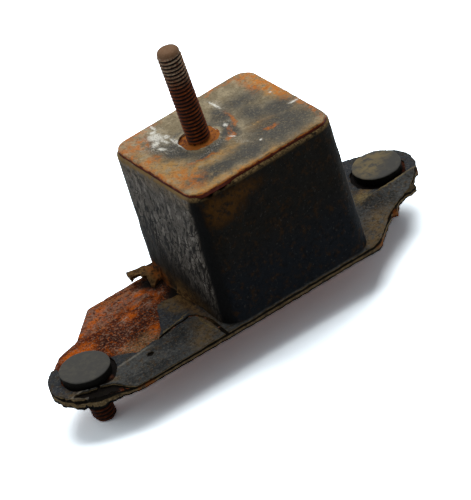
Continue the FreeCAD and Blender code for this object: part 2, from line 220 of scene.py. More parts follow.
def carve(
    work: bmesh.types.BMesh, tool: bmesh.types.BMesh, operation: str = "DIFFERENCE"
) -> bmesh.types.BMesh:
    """Cut one closed mesh with another, or join the two.

    Args:
        work: Mesh to keep.
        tool: Mesh to cut or join with.
        operation: DIFFERENCE, UNION or INTERSECT.

    Returns:
        The result as a new mesh. Both inputs are freed.
    """
    holders = []
    for name, source in (("carve_work", work), ("carve_tool", tool)):
        data = bpy.data.meshes.new(name)
        source.to_mesh(data)
        source.free()
        holder = bpy.data.objects.new(name, data)
        bpy.context.scene.collection.objects.link(holder)
        holders.append(holder)
    cut = holders[0].modifiers.new("carve", "BOOLEAN")
    cut.operation = operation
    cut.solver = "EXACT"
    cut.object = holders[1]
    bpy.context.view_layer.update()
    result = bmesh.new()
    result.from_object(holders[0], bpy.context.evaluated_depsgraph_get())
    for holder in holders:
        data = holder.data
        bpy.data.objects.remove(holder)
        bpy.data.meshes.remove(data)
    return result


def round_tool(middle: Vector, radius: float, low: float, high: float) -> bmesh.types.BMesh:
    """Make an upright cylinder to cut a round hole with.

    Args:
        middle: Its place on the plan.
        radius: Its radius.
        low: Height of its underside.
        high: Height of its top.

    Returns:
        The cylinder as a new mesh.
    """
    mesh = bmesh.new()
    bmesh.ops.create_cone(
        mesh, cap_ends=True, segments=64, radius1=radius, radius2=radius, depth=high - low,
        matrix=Matrix.Translation((middle.x, middle.y, (low + high) / 2)))
    return mesh


def reshape(mesh: bmesh.types.BMesh, move: Callable[[Vector, Vector], Vector]) -> None:
    """Move every vertex by a rule.

    Args:
        mesh: Mesh to change.
        move: Takes a vertex's place and normal and returns its new place.
    """
    mesh.normal_update()
    for vert, place in [(vert, move(vert.co.copy(), vert.normal.copy())) for vert in mesh.verts]:
        vert.co = place


def hand_over(
    mesh: bmesh.types.BMesh, name: str, material: bpy.types.Material,
    stands_for: Sequence[str], crease: float = 38.0
) -> bpy.types.Object:
    """Turn a finished mesh into a piece that rides on the frame.

    Args:
        mesh: Closed mesh in millimetres.
        name: Name of the piece.
        material: Finish of the piece.
        stands_for: CAD nodes that the piece replaces.
        crease: Edges sharper than this many degrees stay crisp.

    Returns:
        The new object, at the origin, with its place in its mesh.
    """
    bmesh.ops.remove_doubles(mesh, verts=mesh.verts[:], dist=MERGE)
    bmesh.ops.dissolve_degenerate(mesh, edges=mesh.edges[:], dist=MERGE / 2)
    bmesh.ops.triangulate(mesh, faces=[face for face in mesh.faces if len(face.verts) > 4])
    bmesh.ops.recalc_face_normals(mesh, faces=mesh.faces[:])
    bmesh.ops.scale(mesh, verts=mesh.verts[:], vec=(METRES, METRES, METRES))
    data = bpy.data.meshes.new(name)
    mesh.to_mesh(data)
    mesh.free()
    data.shade_smooth()
    data.set_sharp_from_angle(angle=math.radians(crease))
    data.materials.append(material)
    piece = bpy.data.objects.new(name, data)
    bpy.context.scene.collection.objects.link(piece)
    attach(piece, ROOT)
    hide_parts(*stands_for)
    return piece


# ---- finishes


def linear(tone: str) -> tuple[float, float, float, float]:
    """Turn a colour into linear light.

    Args:
        tone: The colour as six hexadecimal digits.

    Returns:
        Its red, green, blue and alpha.
    """
    parts = [int(tone[index:index + 2], 16) / 255 for index in (0, 2, 4)]
    red, green, blue = [
        part / 12.92 if part <= 0.04045 else ((part + 0.055) / 1.055) ** 2.4 for part in parts]
    return red, green, blue, 1.0


@dataclass(frozen=True)
class Spot:
    """An oval mark on a surface: its middle, its half sizes and its turn about Z."""

    x: float
    y: float
    reach: float
    width: float
    turn: float = 0.0
    z: float = 0.0
    depth: float = 500.0
    soft: float = 0.5


@dataclass(frozen=True)
class Grains:
    """Small irregular grains scattered over a finish."""

    tone: str
    size: float
    amount: float
    seed: float


Socket = bpy.types.NodeSocket


class Bench:
    """Lays out the shader nodes of one finish, on object coordinates in millimetres."""

    def __init__(self, name: str) -> None:
        """Start a material with nothing but its coordinates."""
        self.material = bpy.data.materials.new(name)
        self.material.use_nodes = True
        self.nodes = self.material.node_tree.nodes
        self.links = self.material.node_tree.links
        self.nodes.clear()
        coordinates = self.nodes.new("ShaderNodeTexCoord")
        self.place = self.vector("SCALE", coordinates.outputs["Object"], scale=1 / METRES)
        self.warped = self.place

    def feed(self, socket: Socket, value: Socket | float | Sequence[float]) -> None:
        """Wire a value to an input, or set it there when it is a constant.

        Args:
            socket: Input to feed.
            value: Output of another node, or a constant.
        """
        if isinstance(value, bpy.types.NodeSocket):
            self.links.new(value, socket)
        else:
            socket.default_value = value

    def vector(
        self, operation: str, first: Socket, second: Socket | Sequence[float] | None = None,
        scale: float = 1.0
    ) -> Socket:
        """Add a Vector Math node.

        Args:
            operation: What it does.
            first: First vector.
            second: Second vector, where the operation takes one.
            scale: Factor of a SCALE.

        Returns:
            Its vector, or its value for a length.
        """
        node = self.nodes.new("ShaderNodeVectorMath")
        node.operation = operation
        self.feed(node.inputs[0], first)
        if second is not None:
            self.feed(node.inputs[1], second)
        if operation == "SCALE":
            node.inputs["Scale"].default_value = scale
        return node.outputs["Value" if operation in ("LENGTH", "DOT_PRODUCT") else "Vector"]

    def sum(self, operation: str, first: Socket | float, second: Socket | float) -> Socket:
        """Add a Math node that clamps its result between 0 and 1.

        Args:
            operation: What it does.
            first: First number.
            second: Second number.

        Returns:
            The result.
        """
        node = self.nodes.new("ShaderNodeMath")
        node.operation = operation
        node.use_clamp = True
        self.feed(node.inputs[0], first)
        self.feed(node.inputs[1], second)
        return node.outputs[0]

    def axis(self, name: str) -> Socket:
        """Read one coordinate of the surface.

        Args:
            name: X, Y or Z.

        Returns:
            The coordinate in millimetres.
        """
        node = self.nodes.new("ShaderNodeSeparateXYZ")
        self.feed(node.inputs[0], self.place)
        return node.outputs[name]

    def attribute(self, name: str) -> Socket:
        """Read a number that the mesh carries at its vertices.

        Args:
            name: Name of the attribute.

        Returns:
            The number.
        """
        node = self.nodes.new("ShaderNodeAttribute")
        node.attribute_name = name
        return node.outputs["Fac"]

    def warp(self, size: float, amount: float) -> None:
        """Make the places of marks wander, so that their edges are ragged.

        Args:
            size: Width of the lumps by which they wander.
            amount: How far they wander.
        """
        source = self.nodes.new("ShaderNodeTexNoise")
        source.inputs["Scale"].default_value = 1 / size
        source.inputs["Detail"].default_value = 5
        source.inputs["Roughness"].default_value = 0.62
        self.feed(source.inputs["Vector"], self.place)
        centred = self.vector("SUBTRACT", source.outputs["Color"], (0.5, 0.5, 0.5))
        self.warped = self.vector(
            "ADD", self.place, self.vector("SCALE", centred, scale=amount * 2))

    def stretch(self, sizes: Sequence[float], turn: Sequence[float] = (0, 0, 0)) -> Socket:
        """Turn the coordinates and divide them by three sizes.

        Args:
            sizes: Size along each axis.
            turn: Turn about each axis in degrees.

        Returns:
            The new coordinates.
        """
        node = self.nodes.new("ShaderNodeMapping")
        node.vector_type = "TEXTURE"
        node.inputs["Rotation"].default_value = [math.radians(angle) for angle in turn]
        node.inputs["Scale"].default_value = sizes
        self.feed(node.inputs["Vector"], self.place)
        return node.outputs[0]

    def noise(
        self, size: float, detail: float = 4.0, roughness: float = 0.55,
        where: Socket | None = None, distortion: float = 0.0, seed: float = 0.0
    ) -> Socket:
        """Add cloudy noise.

        Args:
            size: About how wide its lumps are.
            detail: How many finer layers lie on top.
            roughness: How strong the finer layers are.
            where: Coordinates, or else the plain ones.
            distortion: How much it swirls.
            seed: Shifts the pattern.

        Returns:
            Its value, from 0 to 1.
        """
        node = self.nodes.new("ShaderNodeTexNoise")
        node.noise_dimensions = "4D"
        node.inputs["W"].default_value = seed
        node.inputs["Scale"].default_value = 1 / size
        node.inputs["Detail"].default_value = detail
        node.inputs["Roughness"].default_value = roughness
        node.inputs["Distortion"].default_value = distortion
        self.feed(node.inputs["Vector"], self.place if where is None else where)
        return node.outputs["Fac"]

    def cracks(self, size: float, where: Socket) -> Socket:
        """Add a net of cells whose edges are the cracks.

        Args:
            size: About how wide the cells are.
            where: Coordinates.

        Returns:
            The distance to the nearest edge.
        """
        node = self.nodes.new("ShaderNodeTexVoronoi")
        node.feature = "DISTANCE_TO_EDGE"
        node.inputs["Scale"].default_value = 1 / size
        self.feed(node.inputs["Vector"], where)
        return node.outputs["Distance"]

    def window(self, value: Socket, low: float, high: float) -> Socket:
        """Turn a number into a soft-edged mask.

        Args:
            value: The number.
            low: Number at which the mask is 0.
            high: Number at which it is 1. Where this is less than low, the mask falls.

        Returns:
            The mask.
        """
        node = self.nodes.new("ShaderNodeMapRange")
        node.interpolation_type = "SMOOTHSTEP"
        falls = low > high
        self.feed(node.inputs["Value"], value)
        node.inputs["From Min"].default_value = min(low, high)
        node.inputs["From Max"].default_value = max(low, high)
        node.inputs["To Min"].default_value = 1.0 if falls else 0.0
        node.inputs["To Max"].default_value = 0.0 if falls else 1.0
        return node.outputs["Result"]

    def marks(self, spots: Sequence[Spot]) -> Socket:
        """Mask several oval marks.

        Args:
            spots: The marks.

        Returns:
            A mask that is 1 inside any of them.
        """
        mask: Socket | None = None
        for spot in spots:
            node = self.nodes.new("ShaderNodeMapping")
            node.vector_type = "TEXTURE"
            node.inputs["Location"].default_value = (spot.x, spot.y, spot.z)
            node.inputs["Rotation"].default_value = (0, 0, math.radians(spot.turn))
            node.inputs["Scale"].default_value = (spot.reach, spot.width, spot.depth)
            self.feed(node.inputs["Vector"], self.warped)
            length = self.vector("LENGTH", node.outputs[0])
            oval = self.window(length, 1 + spot.soft, 1 - spot.soft)
            mask = oval if mask is None else self.sum("MAXIMUM", mask, oval)
        return mask

    def grit(self, colour: Socket, layers: Sequence[Grains]) -> Socket:
        """Speckle a colour with layers of grains.

        Args:
            colour: Colour to speckle.
            layers: The grains, lowest first.

        Returns:
            The speckled colour.
        """
        for layer in layers:
            grains = self.noise(layer.size, 4, 0.65, seed=layer.seed)
            colour = self.coat(colour, layer.tone, self.window(grains, 0.52, 0.62), layer.amount)
        return colour

    def both(self, *masks: Socket | float) -> Socket:
        """Multiply masks.

        Args:
            *masks: Masks, or plain factors.

        Returns:
            Their product.
        """
        product = masks[0]
        for mask in masks[1:]:
            product = self.sum("MULTIPLY", product, mask)
        return product

    def paint(self, under: Socket | str, over: Socket | str, mask: Socket | float) -> Socket:
        """Lay one colour over another.

        Args:
            under: Lower colour.
            over: Upper colour.
            mask: How much of the upper colour shows.

        Returns:
            The mixed colour.
        """
        node = self.nodes.new("ShaderNodeMix")
        node.data_type = "RGBA"
        self.feed(node.inputs["Factor"], mask)
        self.feed(node.inputs[6], linear(under) if isinstance(under, str) else under)
        self.feed(node.inputs[7], linear(over) if isinstance(over, str) else over)
        return node.outputs[2]

    def coat(
        self, under: Socket | str, over: Socket | str, *masks: Socket | float
    ) -> Socket:
        """Lay one colour over another where all of several masks meet."""
        return self.paint(under, over, self.both(*masks))

    def stain(
        self, under: Socket | str, over: Socket | str, spots: Sequence[Spot],
        broken: Socket, amount: float = 1.0
    ) -> Socket:
        """Lay one colour over another inside oval marks that a mask breaks up."""
        return self.coat(under, over, self.marks(spots), broken, amount)

    def blend(self, under: Socket | float, over: Socket | float, mask: Socket) -> Socket:
        """Lay one number over another.

        Args:
            under: Number where the mask is 0.
            over: Number where the mask is 1.
            mask: How much of the second counts.

        Returns:
            The mixed number.
        """
        node = self.nodes.new("ShaderNodeMix")
        self.feed(node.inputs["Factor"], mask)
        self.feed(node.inputs[2], under)
        self.feed(node.inputs[3], over)
        return node.outputs[0]

    def finish(
        self, colour: Socket, coarse: Socket, fine: Socket, shares: tuple[float, float],
        roughness: tuple[float, float], relief: float, specular: float,
        roughened: Socket | None = None
    ) -> bpy.types.Material:
        """Close the material with its surface.

        Args:
            colour: Base colour.
            coarse: Texture of its wider relief.
            fine: Texture of its finest relief.
            shares: How much of the relief each of the two makes.
            roughness: Roughness at 0 and at 1 of the texture that varies it.
            relief: How many millimetres the relief stands for.
            specular: Strength of its plain reflection.
            roughened: Texture that varies the roughness, or else the coarse one.

        Returns:
            The finished material.
        """
        bump = self.nodes.new("ShaderNodeBump")
        bump.inputs["Strength"].default_value = 1.0
        bump.inputs["Distance"].default_value = relief * METRES
        height = self.sum("ADD", self.both(coarse, shares[0]), self.both(fine, shares[1]))
        self.feed(bump.inputs["Height"], height)
        surface = self.nodes.new("ShaderNodeBsdfPrincipled")
        surface.inputs["Specular IOR Level"].default_value = specular
        self.feed(surface.inputs["Base Color"], colour)
        self.feed(surface.inputs["Roughness"], self.blend(*roughness, roughened or coarse))
        self.links.new(bump.outputs[0], surface.inputs["Normal"])
        output = self.nodes.new("ShaderNodeOutputMaterial")
        self.links.new(surface.outputs[0], output.inputs["Surface"])
        return self.material


@dataclass(frozen=True)
class RustedSheet:
    """Bare base steel: lavender scale, orange bloom, dark red pits, dried mud and painted shade.
    """

    scale: str = "7d5847"
    pale: str = "aa8c78"
    tan: str = "93582c"
    orange: str = "a84c10"
    bright: str = "c25c08"
    dark: str = "1c0602"
    brown: str = "481a08"
    mud: str = "6e5639"
    shade: str = "0c0806"
    grains: tuple[Grains, ...] = (
        Grains("1c0602", 1.2, 0.7, 21.0), Grains("b08d76", 0.9, 0.4, 12.0),
        Grains("c25c08", 1.0, 0.4, 17.0), Grains("1c0602", 0.6, 0.6, 24.0))
    dark_spots: tuple[Spot, ...] = (
        Spot(-39, 3, 6, 7, -30, soft=0.7), Spot(-46, -1, 6, 4, 10, soft=0.7),
        Spot(-26, 9, 7, 4.5, 0, soft=0.6), Spot(-55, 3, 8, 5, -20, soft=0.8),
        Spot(-60, 1, 5, 4, soft=0.8), Spot(-24, 14, 3, 5), Spot(-33, 14, 3, 3, soft=0.8),
        Spot(-62, -5, 3, 4, soft=0.7))
    orange_spots: tuple[Spot, ...] = (
        Spot(-31, 12, 3.5, 4, -30), Spot(-41, -3.5, 2.2, 5.5, -20), Spot(-44, 10, 3.5, 2),
        Spot(-56, 18, 4, 2, 20), Spot(-49, 23.5, 2.5, 1.6), Spot(-33, 20, 4, 1.4, 10),
        Spot(-65, 6.5, 4, 3), Spot(-72, 6, 5, 3), Spot(-61, -4, 1.5, 4),
        Spot(-85, 2, 2, 6, 20, soft=0.8), Spot(-38, 14, 3, 1.2, 15), Spot(-64, 15, 3, 1.5))
    mud_spots: tuple[Spot, ...] = (
        Spot(-52, -9, 9, 4, 0, soft=0.7), Spot(-46, -7, 5, 4, soft=0.7),
        Spot(-49, -11.5, 8, 2.5))
    # Painted shade: near-black in the gaps round both bolt heads, under the loose strip and at the
    # block's foot.
    shade_spots: tuple[Spot, ...] = (
        Spot(-66, -12, 4.5, 9, 10, soft=0.3), Spot(-26, 22, 5, 5, soft=0.6),
        Spot(-75, -21, 14, 5, -10, soft=0.3), Spot(-84, -15, 6, 6, soft=0.3),
        Spot(70, 9, 16, 16, soft=0.3), Spot(-24, 8, 4, 9, -20, soft=0.7))

    def make(self) -> bpy.types.Material:
        """Build the material.

        Returns:
            The finished material.
        """
        bench = Bench("rusted_sheet")
        bench.warp(5.0, 3.4)
        above = bench.window(bench.axis("Z"), -0.4, 0.6)
        along = bench.stretch((2.4, 1.0, 1.0), (0, 0, 8))
        cloud = bench.noise(6, 7, 0.66, along)
        patch = bench.noise(2.6, 7, 0.7, along, seed=4.0)
        fine = bench.noise(0.7, 5, 0.75, seed=9.0)
        bands = bench.noise(7, 6, 0.6, along, seed=3.0)
        blotches = bench.noise(3.4, 7, 0.68, seed=2.0)
        pits = bench.noise(1.3, 6, 0.7, seed=6.0)
        front = bench.window(bench.axis("Y"), 20, 11)
        colour = bench.paint(self.scale, self.pale, bench.window(cloud, 0.5, 0.66))
        colour = bench.coat(colour, self.tan, bench.window(bands, 0.48, 0.6), 0.75)
        colour = bench.coat(colour, self.orange, bench.window(blotches, 0.53, 0.6), 0.85)
        colour = bench.coat(colour, self.brown, front, bench.window(patch, 0.38, 0.5), 0.9)
        colour = bench.coat(colour, self.brown, bench.window(patch, 0.52, 0.58), 0.85)
        colour = bench.stain(
            colour, self.mud, self.mud_spots, bench.window(fine, 0.3, 0.5), 0.85)
        colour = bench.stain(
            colour, self.bright, self.orange_spots, bench.window(patch, 0.36, 0.56), 0.9)
        broken = bench.both(bench.window(fine, 0.34, 0.52), bench.window(patch, 0.3, 0.44))
        colour = bench.stain(colour, self.dark, self.dark_spots, broken, 0.92)
        colour = bench.coat(colour, self.dark, bench.window(pits, 0.55, 0.66), 0.7)
        colour = bench.grit(colour, self.grains)
        colour = bench.paint(self.brown, colour, bench.blend(0.55, 1.0, above))
        # Painted shade, laid last over every other mark.
        colour = bench.paint(colour, self.shade, bench.marks(self.shade_spots))
        return bench.finish(colour, patch, fine, (0.6, 0.5), (0.62, 0.9), 0.5, 0.05)


@dataclass(frozen=True)
class OldRubber:
    """Weathered rubber: grey bloom where it is dry, black where clean, mud and stains."""

    web: str = "33363a"
    flange: str = "494a49"
    pale: str = "77736a"
    bloom: str = "5e5a54"
    light_bloom: str = "8b867f"
    crevice: str = "0e0c0a"
    foot: str = "18130d"
    black: str = "060606"
    face: str = "12100d"
    blue: str = "0f1216"
    brown: str = "2b1d0f"
    khaki: str = "6b573a"
    strip: str = "66563c"
    ochre: str = "4a3012"
    crust: str = "7a6442"
    rust: str = "7d4316"
    olive: str = "35342f"
    ridge: str = "857249"
    damp: str = "1d1f21"
    rim_shade: str = "2a2219"
    rim_light: str = "857558"
    wash: str = "7b6a50"
    blotch: str = "37332d"
    # Grey of the painted glints on the front wall.
    chip_and_glint: str = "3a3936"
    rim_gap: str = "1a150e"
    soil: str = "6b5231"
    wet_soil: str = "3a2614"
    sheet_grains: tuple[Grains, ...] = (
        Grains("4a3820", 1.6, 0.5, 7.0), Grains("77736a", 0.8, 0.3, 8.0),
        Grains("0f0d0b", 1.3, 0.5, 9.0))
    side_grains: tuple[Grains, ...] = (Grains("0e0c0a", 0.8, 0.55, 33.0),)
    front_grains: tuple[Grains, ...] = (Grains("020202", 1.6, 0.6, 15.0),)
    soil_grains: tuple[Grains, ...] = (Grains("150d07", 1.1, 0.7, 41.0),)
    fold_slope: float = 0.1016
    fold_at: float = -9.0
    stain_spots: tuple[Spot, ...] = (
        Spot(-11, -30, 8, 8, 0, 50.5, 4.5, 0.7), Spot(-14, -30, 5, 8, 0, 54.5, 3.5, 0.6),
        Spot(-4, -30, 9, 8, 0, 54, 3, 0.8))
    mud_spots: tuple[Spot, ...] = (
        Spot(-28, 0, 4.5, 5.5, 0, 2.6, 6), Spot(-30, 4.5, 3.5, 2, 0, 2.6, 6),
        Spot(-29, -22, 4.5, 7, -10, 2, 4, 0.8), Spot(-33, -27, 5, 3.5, 0, 2, 4, 0.8),
        Spot(55, -20, 5, 11, -42, 2, 5, 0.8), Spot(63, 2.5, 4, 2, 0, 2, 5),
        Spot(48, -29, 8, 4, -30, 2, 5), Spot(-71, -19, 4, 1.6, -30, 2, 4, 0.7),
        Spot(80, 19, 8, 3, 20, 2, 4, 0.8),
        Spot(-86, -18, 5, 6, 0, 0.5, 2.4, 0.8))
    dark_spots: tuple[Spot, ...] = (
        Spot(-40, -17, 10, 6, 10, 2, 5, 0.7), Spot(-56, -27, 16, 3, 0, 2, 5, 0.8),
        Spot(-77, -26, 12, 4, 0, 2, 5, 0.8), Spot(62, -8, 9, 5, 0, 2, 5, 0.8))
    # The long thin line on the right ridge's crest is painted highlight; the others are pale marks
    # along the crack's edges and a patch beside the ridge.
    ridge_spots: tuple[Spot, ...] = (
        Spot(73, -2.4, 16, 0.8, 4, soft=0.4), Spot(-37, -10.4, 9, 0.45, 14, soft=0.4),
        Spot(-26.2, -19, 0.6, 8, 4, soft=0.4), Spot(60, -1, 3.5, 3, soft=0.8))
    rust_spots: tuple[Spot, ...] = (
        Spot(-23, 22, 2.5, 6, 0, 6, 4, 0.8), Spot(-24, 15, 3, 3, 0, 4, 3, 0.8),
        Spot(65.0, -17, 3.2, 3.2, 0, -0.8, 2.0, 0.4), Spot(87.5, 0.0, 2.4, 3.4, 0, 0.0, 2.0, 0.4),
        Spot(-61, -30.5, 3.5, 1.6, 0, -0.6, 1.4, 0.4), Spot(52, -28, 8, 2, 35, 0.0, 0.9, 0.5))
    soil_spots: tuple[Spot, ...] = (
        Spot(-28, 25, 8, 9, 0, 5, 4, 0.5), Spot(-24.5, 4, 2.4, 20, 0, 4, 6, 0.7))

    def sheet(self, bench: Bench, level: Socket, patch: Socket, fine: Socket) -> Socket:
        """Colour the thin sheet over the base and its rim, with painted shade in its recesses and
        a painted highlight along its fold.
        """
        fold = bench.vector("DOT_PRODUCT", bench.place, (-self.fold_slope, 1, 0))
        colour = bench.paint(self.web, self.flange, bench.window(
            fold, self.fold_at + 0.3, self.fold_at - 0.5))
        cloud = bench.noise(6, 6, 0.66, seed=3.0)
        colour = bench.coat(colour, self.olive, bench.window(cloud, 0.48, 0.62), 0.8)
        # Painted highlight: a pale line along the crease of the fold on the left.
        colour = bench.coat(
            colour, self.pale, bench.window(fold, self.fold_at - 1.1, self.fold_at - 0.4),
            bench.window(fold, self.fold_at + 0.5, self.fold_at),
            bench.window(bench.axis("X"), -46, -52), 0.75)
        colour = bench.stain(
            colour, self.khaki, self.mud_spots, bench.window(patch, 0.34, 0.56), 0.85)
        # The line along the right ridge's crest is painted highlight.
        colour = bench.stain(
            colour, self.ridge, self.ridge_spots, bench.window(fine, 0.36, 0.54), 0.8)
        colour = bench.stain(
            colour, self.damp, self.dark_spots, bench.window(patch, 0.32, 0.54), 0.8)
        colour = bench.grit(colour, self.sheet_grains)
        edge = bench.paint(self.rim_shade, self.strip, bench.window(patch, 0.36, 0.5))
        edge = bench.coat(edge, self.rim_light, bench.window(fine, 0.5, 0.62), 0.8)
        colour = bench.paint(colour, edge, bench.window(level, 2.5, 2.35))
        # Painted shade: black in the groove round the rim, on the floors of the lip recess, crack
        # and pit, and low on the torn and cut walls.
        colour = bench.coat(
            colour, self.black, bench.window(level, 2.3, 2.15),
            bench.window(level, 1.25, 1.4), 0.97)
        # Painted shade: black in the undercut at the foot of the rim.
        return bench.paint(colour, self.black, bench.window(level, 0.6, 0.45))

    def sides(self, bench: Bench, patch: Socket, streak: Socket) -> Socket:
        """Colour the dry grey walls of the block."""
        up = bench.axis("Z")
        colour = bench.paint(self.bloom, self.light_bloom, bench.window(streak, 0.48, 0.62))
        colour = bench.coat(
            colour, self.wash, bench.window(up, 51, 59), bench.window(patch, 0.42, 0.56), 0.6)
        colour = bench.coat(
            colour, self.blotch, bench.window(up, 50, 53), bench.window(up, 58.5, 56.5),
            bench.window(patch, 0.52, 0.44), 0.85)
        aslant = bench.vector("DOT_PRODUCT", bench.place, (0, -0.4, 1))
        colour = bench.coat(colour, self.foot, bench.window(aslant, 34, 10), 0.95)
        colour = bench.grit(colour, self.side_grains)
        marks = bench.noise(2.6, 4, 0.6, bench.stretch((1, 0.8, 3.2), (16, 0, 0)), 1.2, 19.0)
        colour = bench.coat(
            colour, self.crevice, bench.window(marks, 0.54, 0.57), bench.window(up, 44, 34), 0.95)
        cracks = bench.noise(1.6, 5, 0.62, bench.stretch((1, 1, 3.0), (14, 0, 0)), 0.8, 9.0)
        return bench.coat(
            colour, self.crevice, bench.window(cracks, 0.53, 0.56), bench.window(up, 56, 44), 0.97)

    def crazed(self, bench: Bench, wall: Socket, streak: Socket) -> Socket:
        """Draw the fine network of cracks in the dry side."""
        net = bench.cracks(3.4, bench.stretch((1, 1, 1.9), (14, 0, 0)))
        return bench.coat(
            wall, self.crevice, bench.window(net, 0.055, 0.015),
            bench.window(streak, 0.4, 0.54), bench.window(bench.axis("Z"), 57, 50), 0.9)

    def front(self, bench: Bench, patch: Socket) -> Socket:
        """Colour the near-black front wall, with painted glints."""
        dirt = bench.noise(3.4, 7, 0.72, seed=7.0)
        glint_grains = bench.noise(0.9, 3, 0.6, seed=14.0)
        colour = bench.paint(self.face, self.blue, bench.window(bench.axis("Z"), 40, 12))
        colour = bench.coat(colour, self.brown, bench.window(dirt, 0.5, 0.64), 0.8)
        # Painted highlight: sparse grey glints on the pebbly front.
        colour = bench.coat(colour, self.chip_and_glint, bench.window(glint_grains, 0.6, 0.7), 0.7)
        colour = bench.grit(colour, self.front_grains)
        return bench.stain(
            colour, self.ochre, self.stain_spots, bench.window(patch, 0.34, 0.58), 0.9)

    def make(self) -> bpy.types.Material:
        """Build the material.

        Returns:
            The finished material.
        """
        bench = Bench("old_rubber")
        bench.warp(3.0, 1.8)
        across, along, up = bench.axis("X"), bench.axis("Y"), bench.axis("Z")
        level = bench.attribute("level")
        fine = bench.noise(0.7, 5, 0.7, seed=1.0)
        patch = bench.noise(2.4, 6, 0.68, seed=5.0)
        streak = bench.noise(2.2, 6, 0.7, bench.stretch((1, 1, 2.6), (6, 0, 0)), seed=2.0)
        colour = self.sheet(bench, level, patch, fine)
        wall = self.crazed(bench, self.sides(bench, patch, streak), streak)
        facing = bench.window(along, -24.0, -26.0)
        wall = bench.paint(wall, self.front(bench, patch), facing)
        wall = bench.coat(
            wall, self.black, facing, bench.window(across, -17.0, -19.5),
            bench.window(up, 59, 56), 0.97)
        # Painted highlight: a pale band down the block's right edge.
        wall = bench.coat(
            wall, self.pale, bench.window(across, 43.4, 45.0), bench.window(up, 12, 20), 0.55)
        rim = bench.window(up, 58.0, 59.6)
        wall = bench.coat(wall, self.crust, rim, bench.window(patch, 0.34, 0.5))
        wall = bench.coat(wall, self.rim_gap, rim, facing, bench.window(fine, 0.54, 0.46), 0.7)
        colour = bench.paint(colour, wall, bench.window(level, 2.64, 3.4))
        soil = bench.paint(self.wet_soil, self.soil, bench.window(patch, 0.4, 0.56))
        soil = bench.grit(soil, self.soil_grains)
        colour = bench.stain(
            colour, soil, self.soil_spots, bench.window(across, -22.0, -23.0), 0.95)
        colour = bench.stain(
            colour, self.rust, self.rust_spots, bench.window(patch, 0.4, 0.6), 0.9)
        return bench.finish(
            colour, streak, fine, (0.5, 0.5), (0.6, 0.85), 0.5, 0.03, roughened=patch)


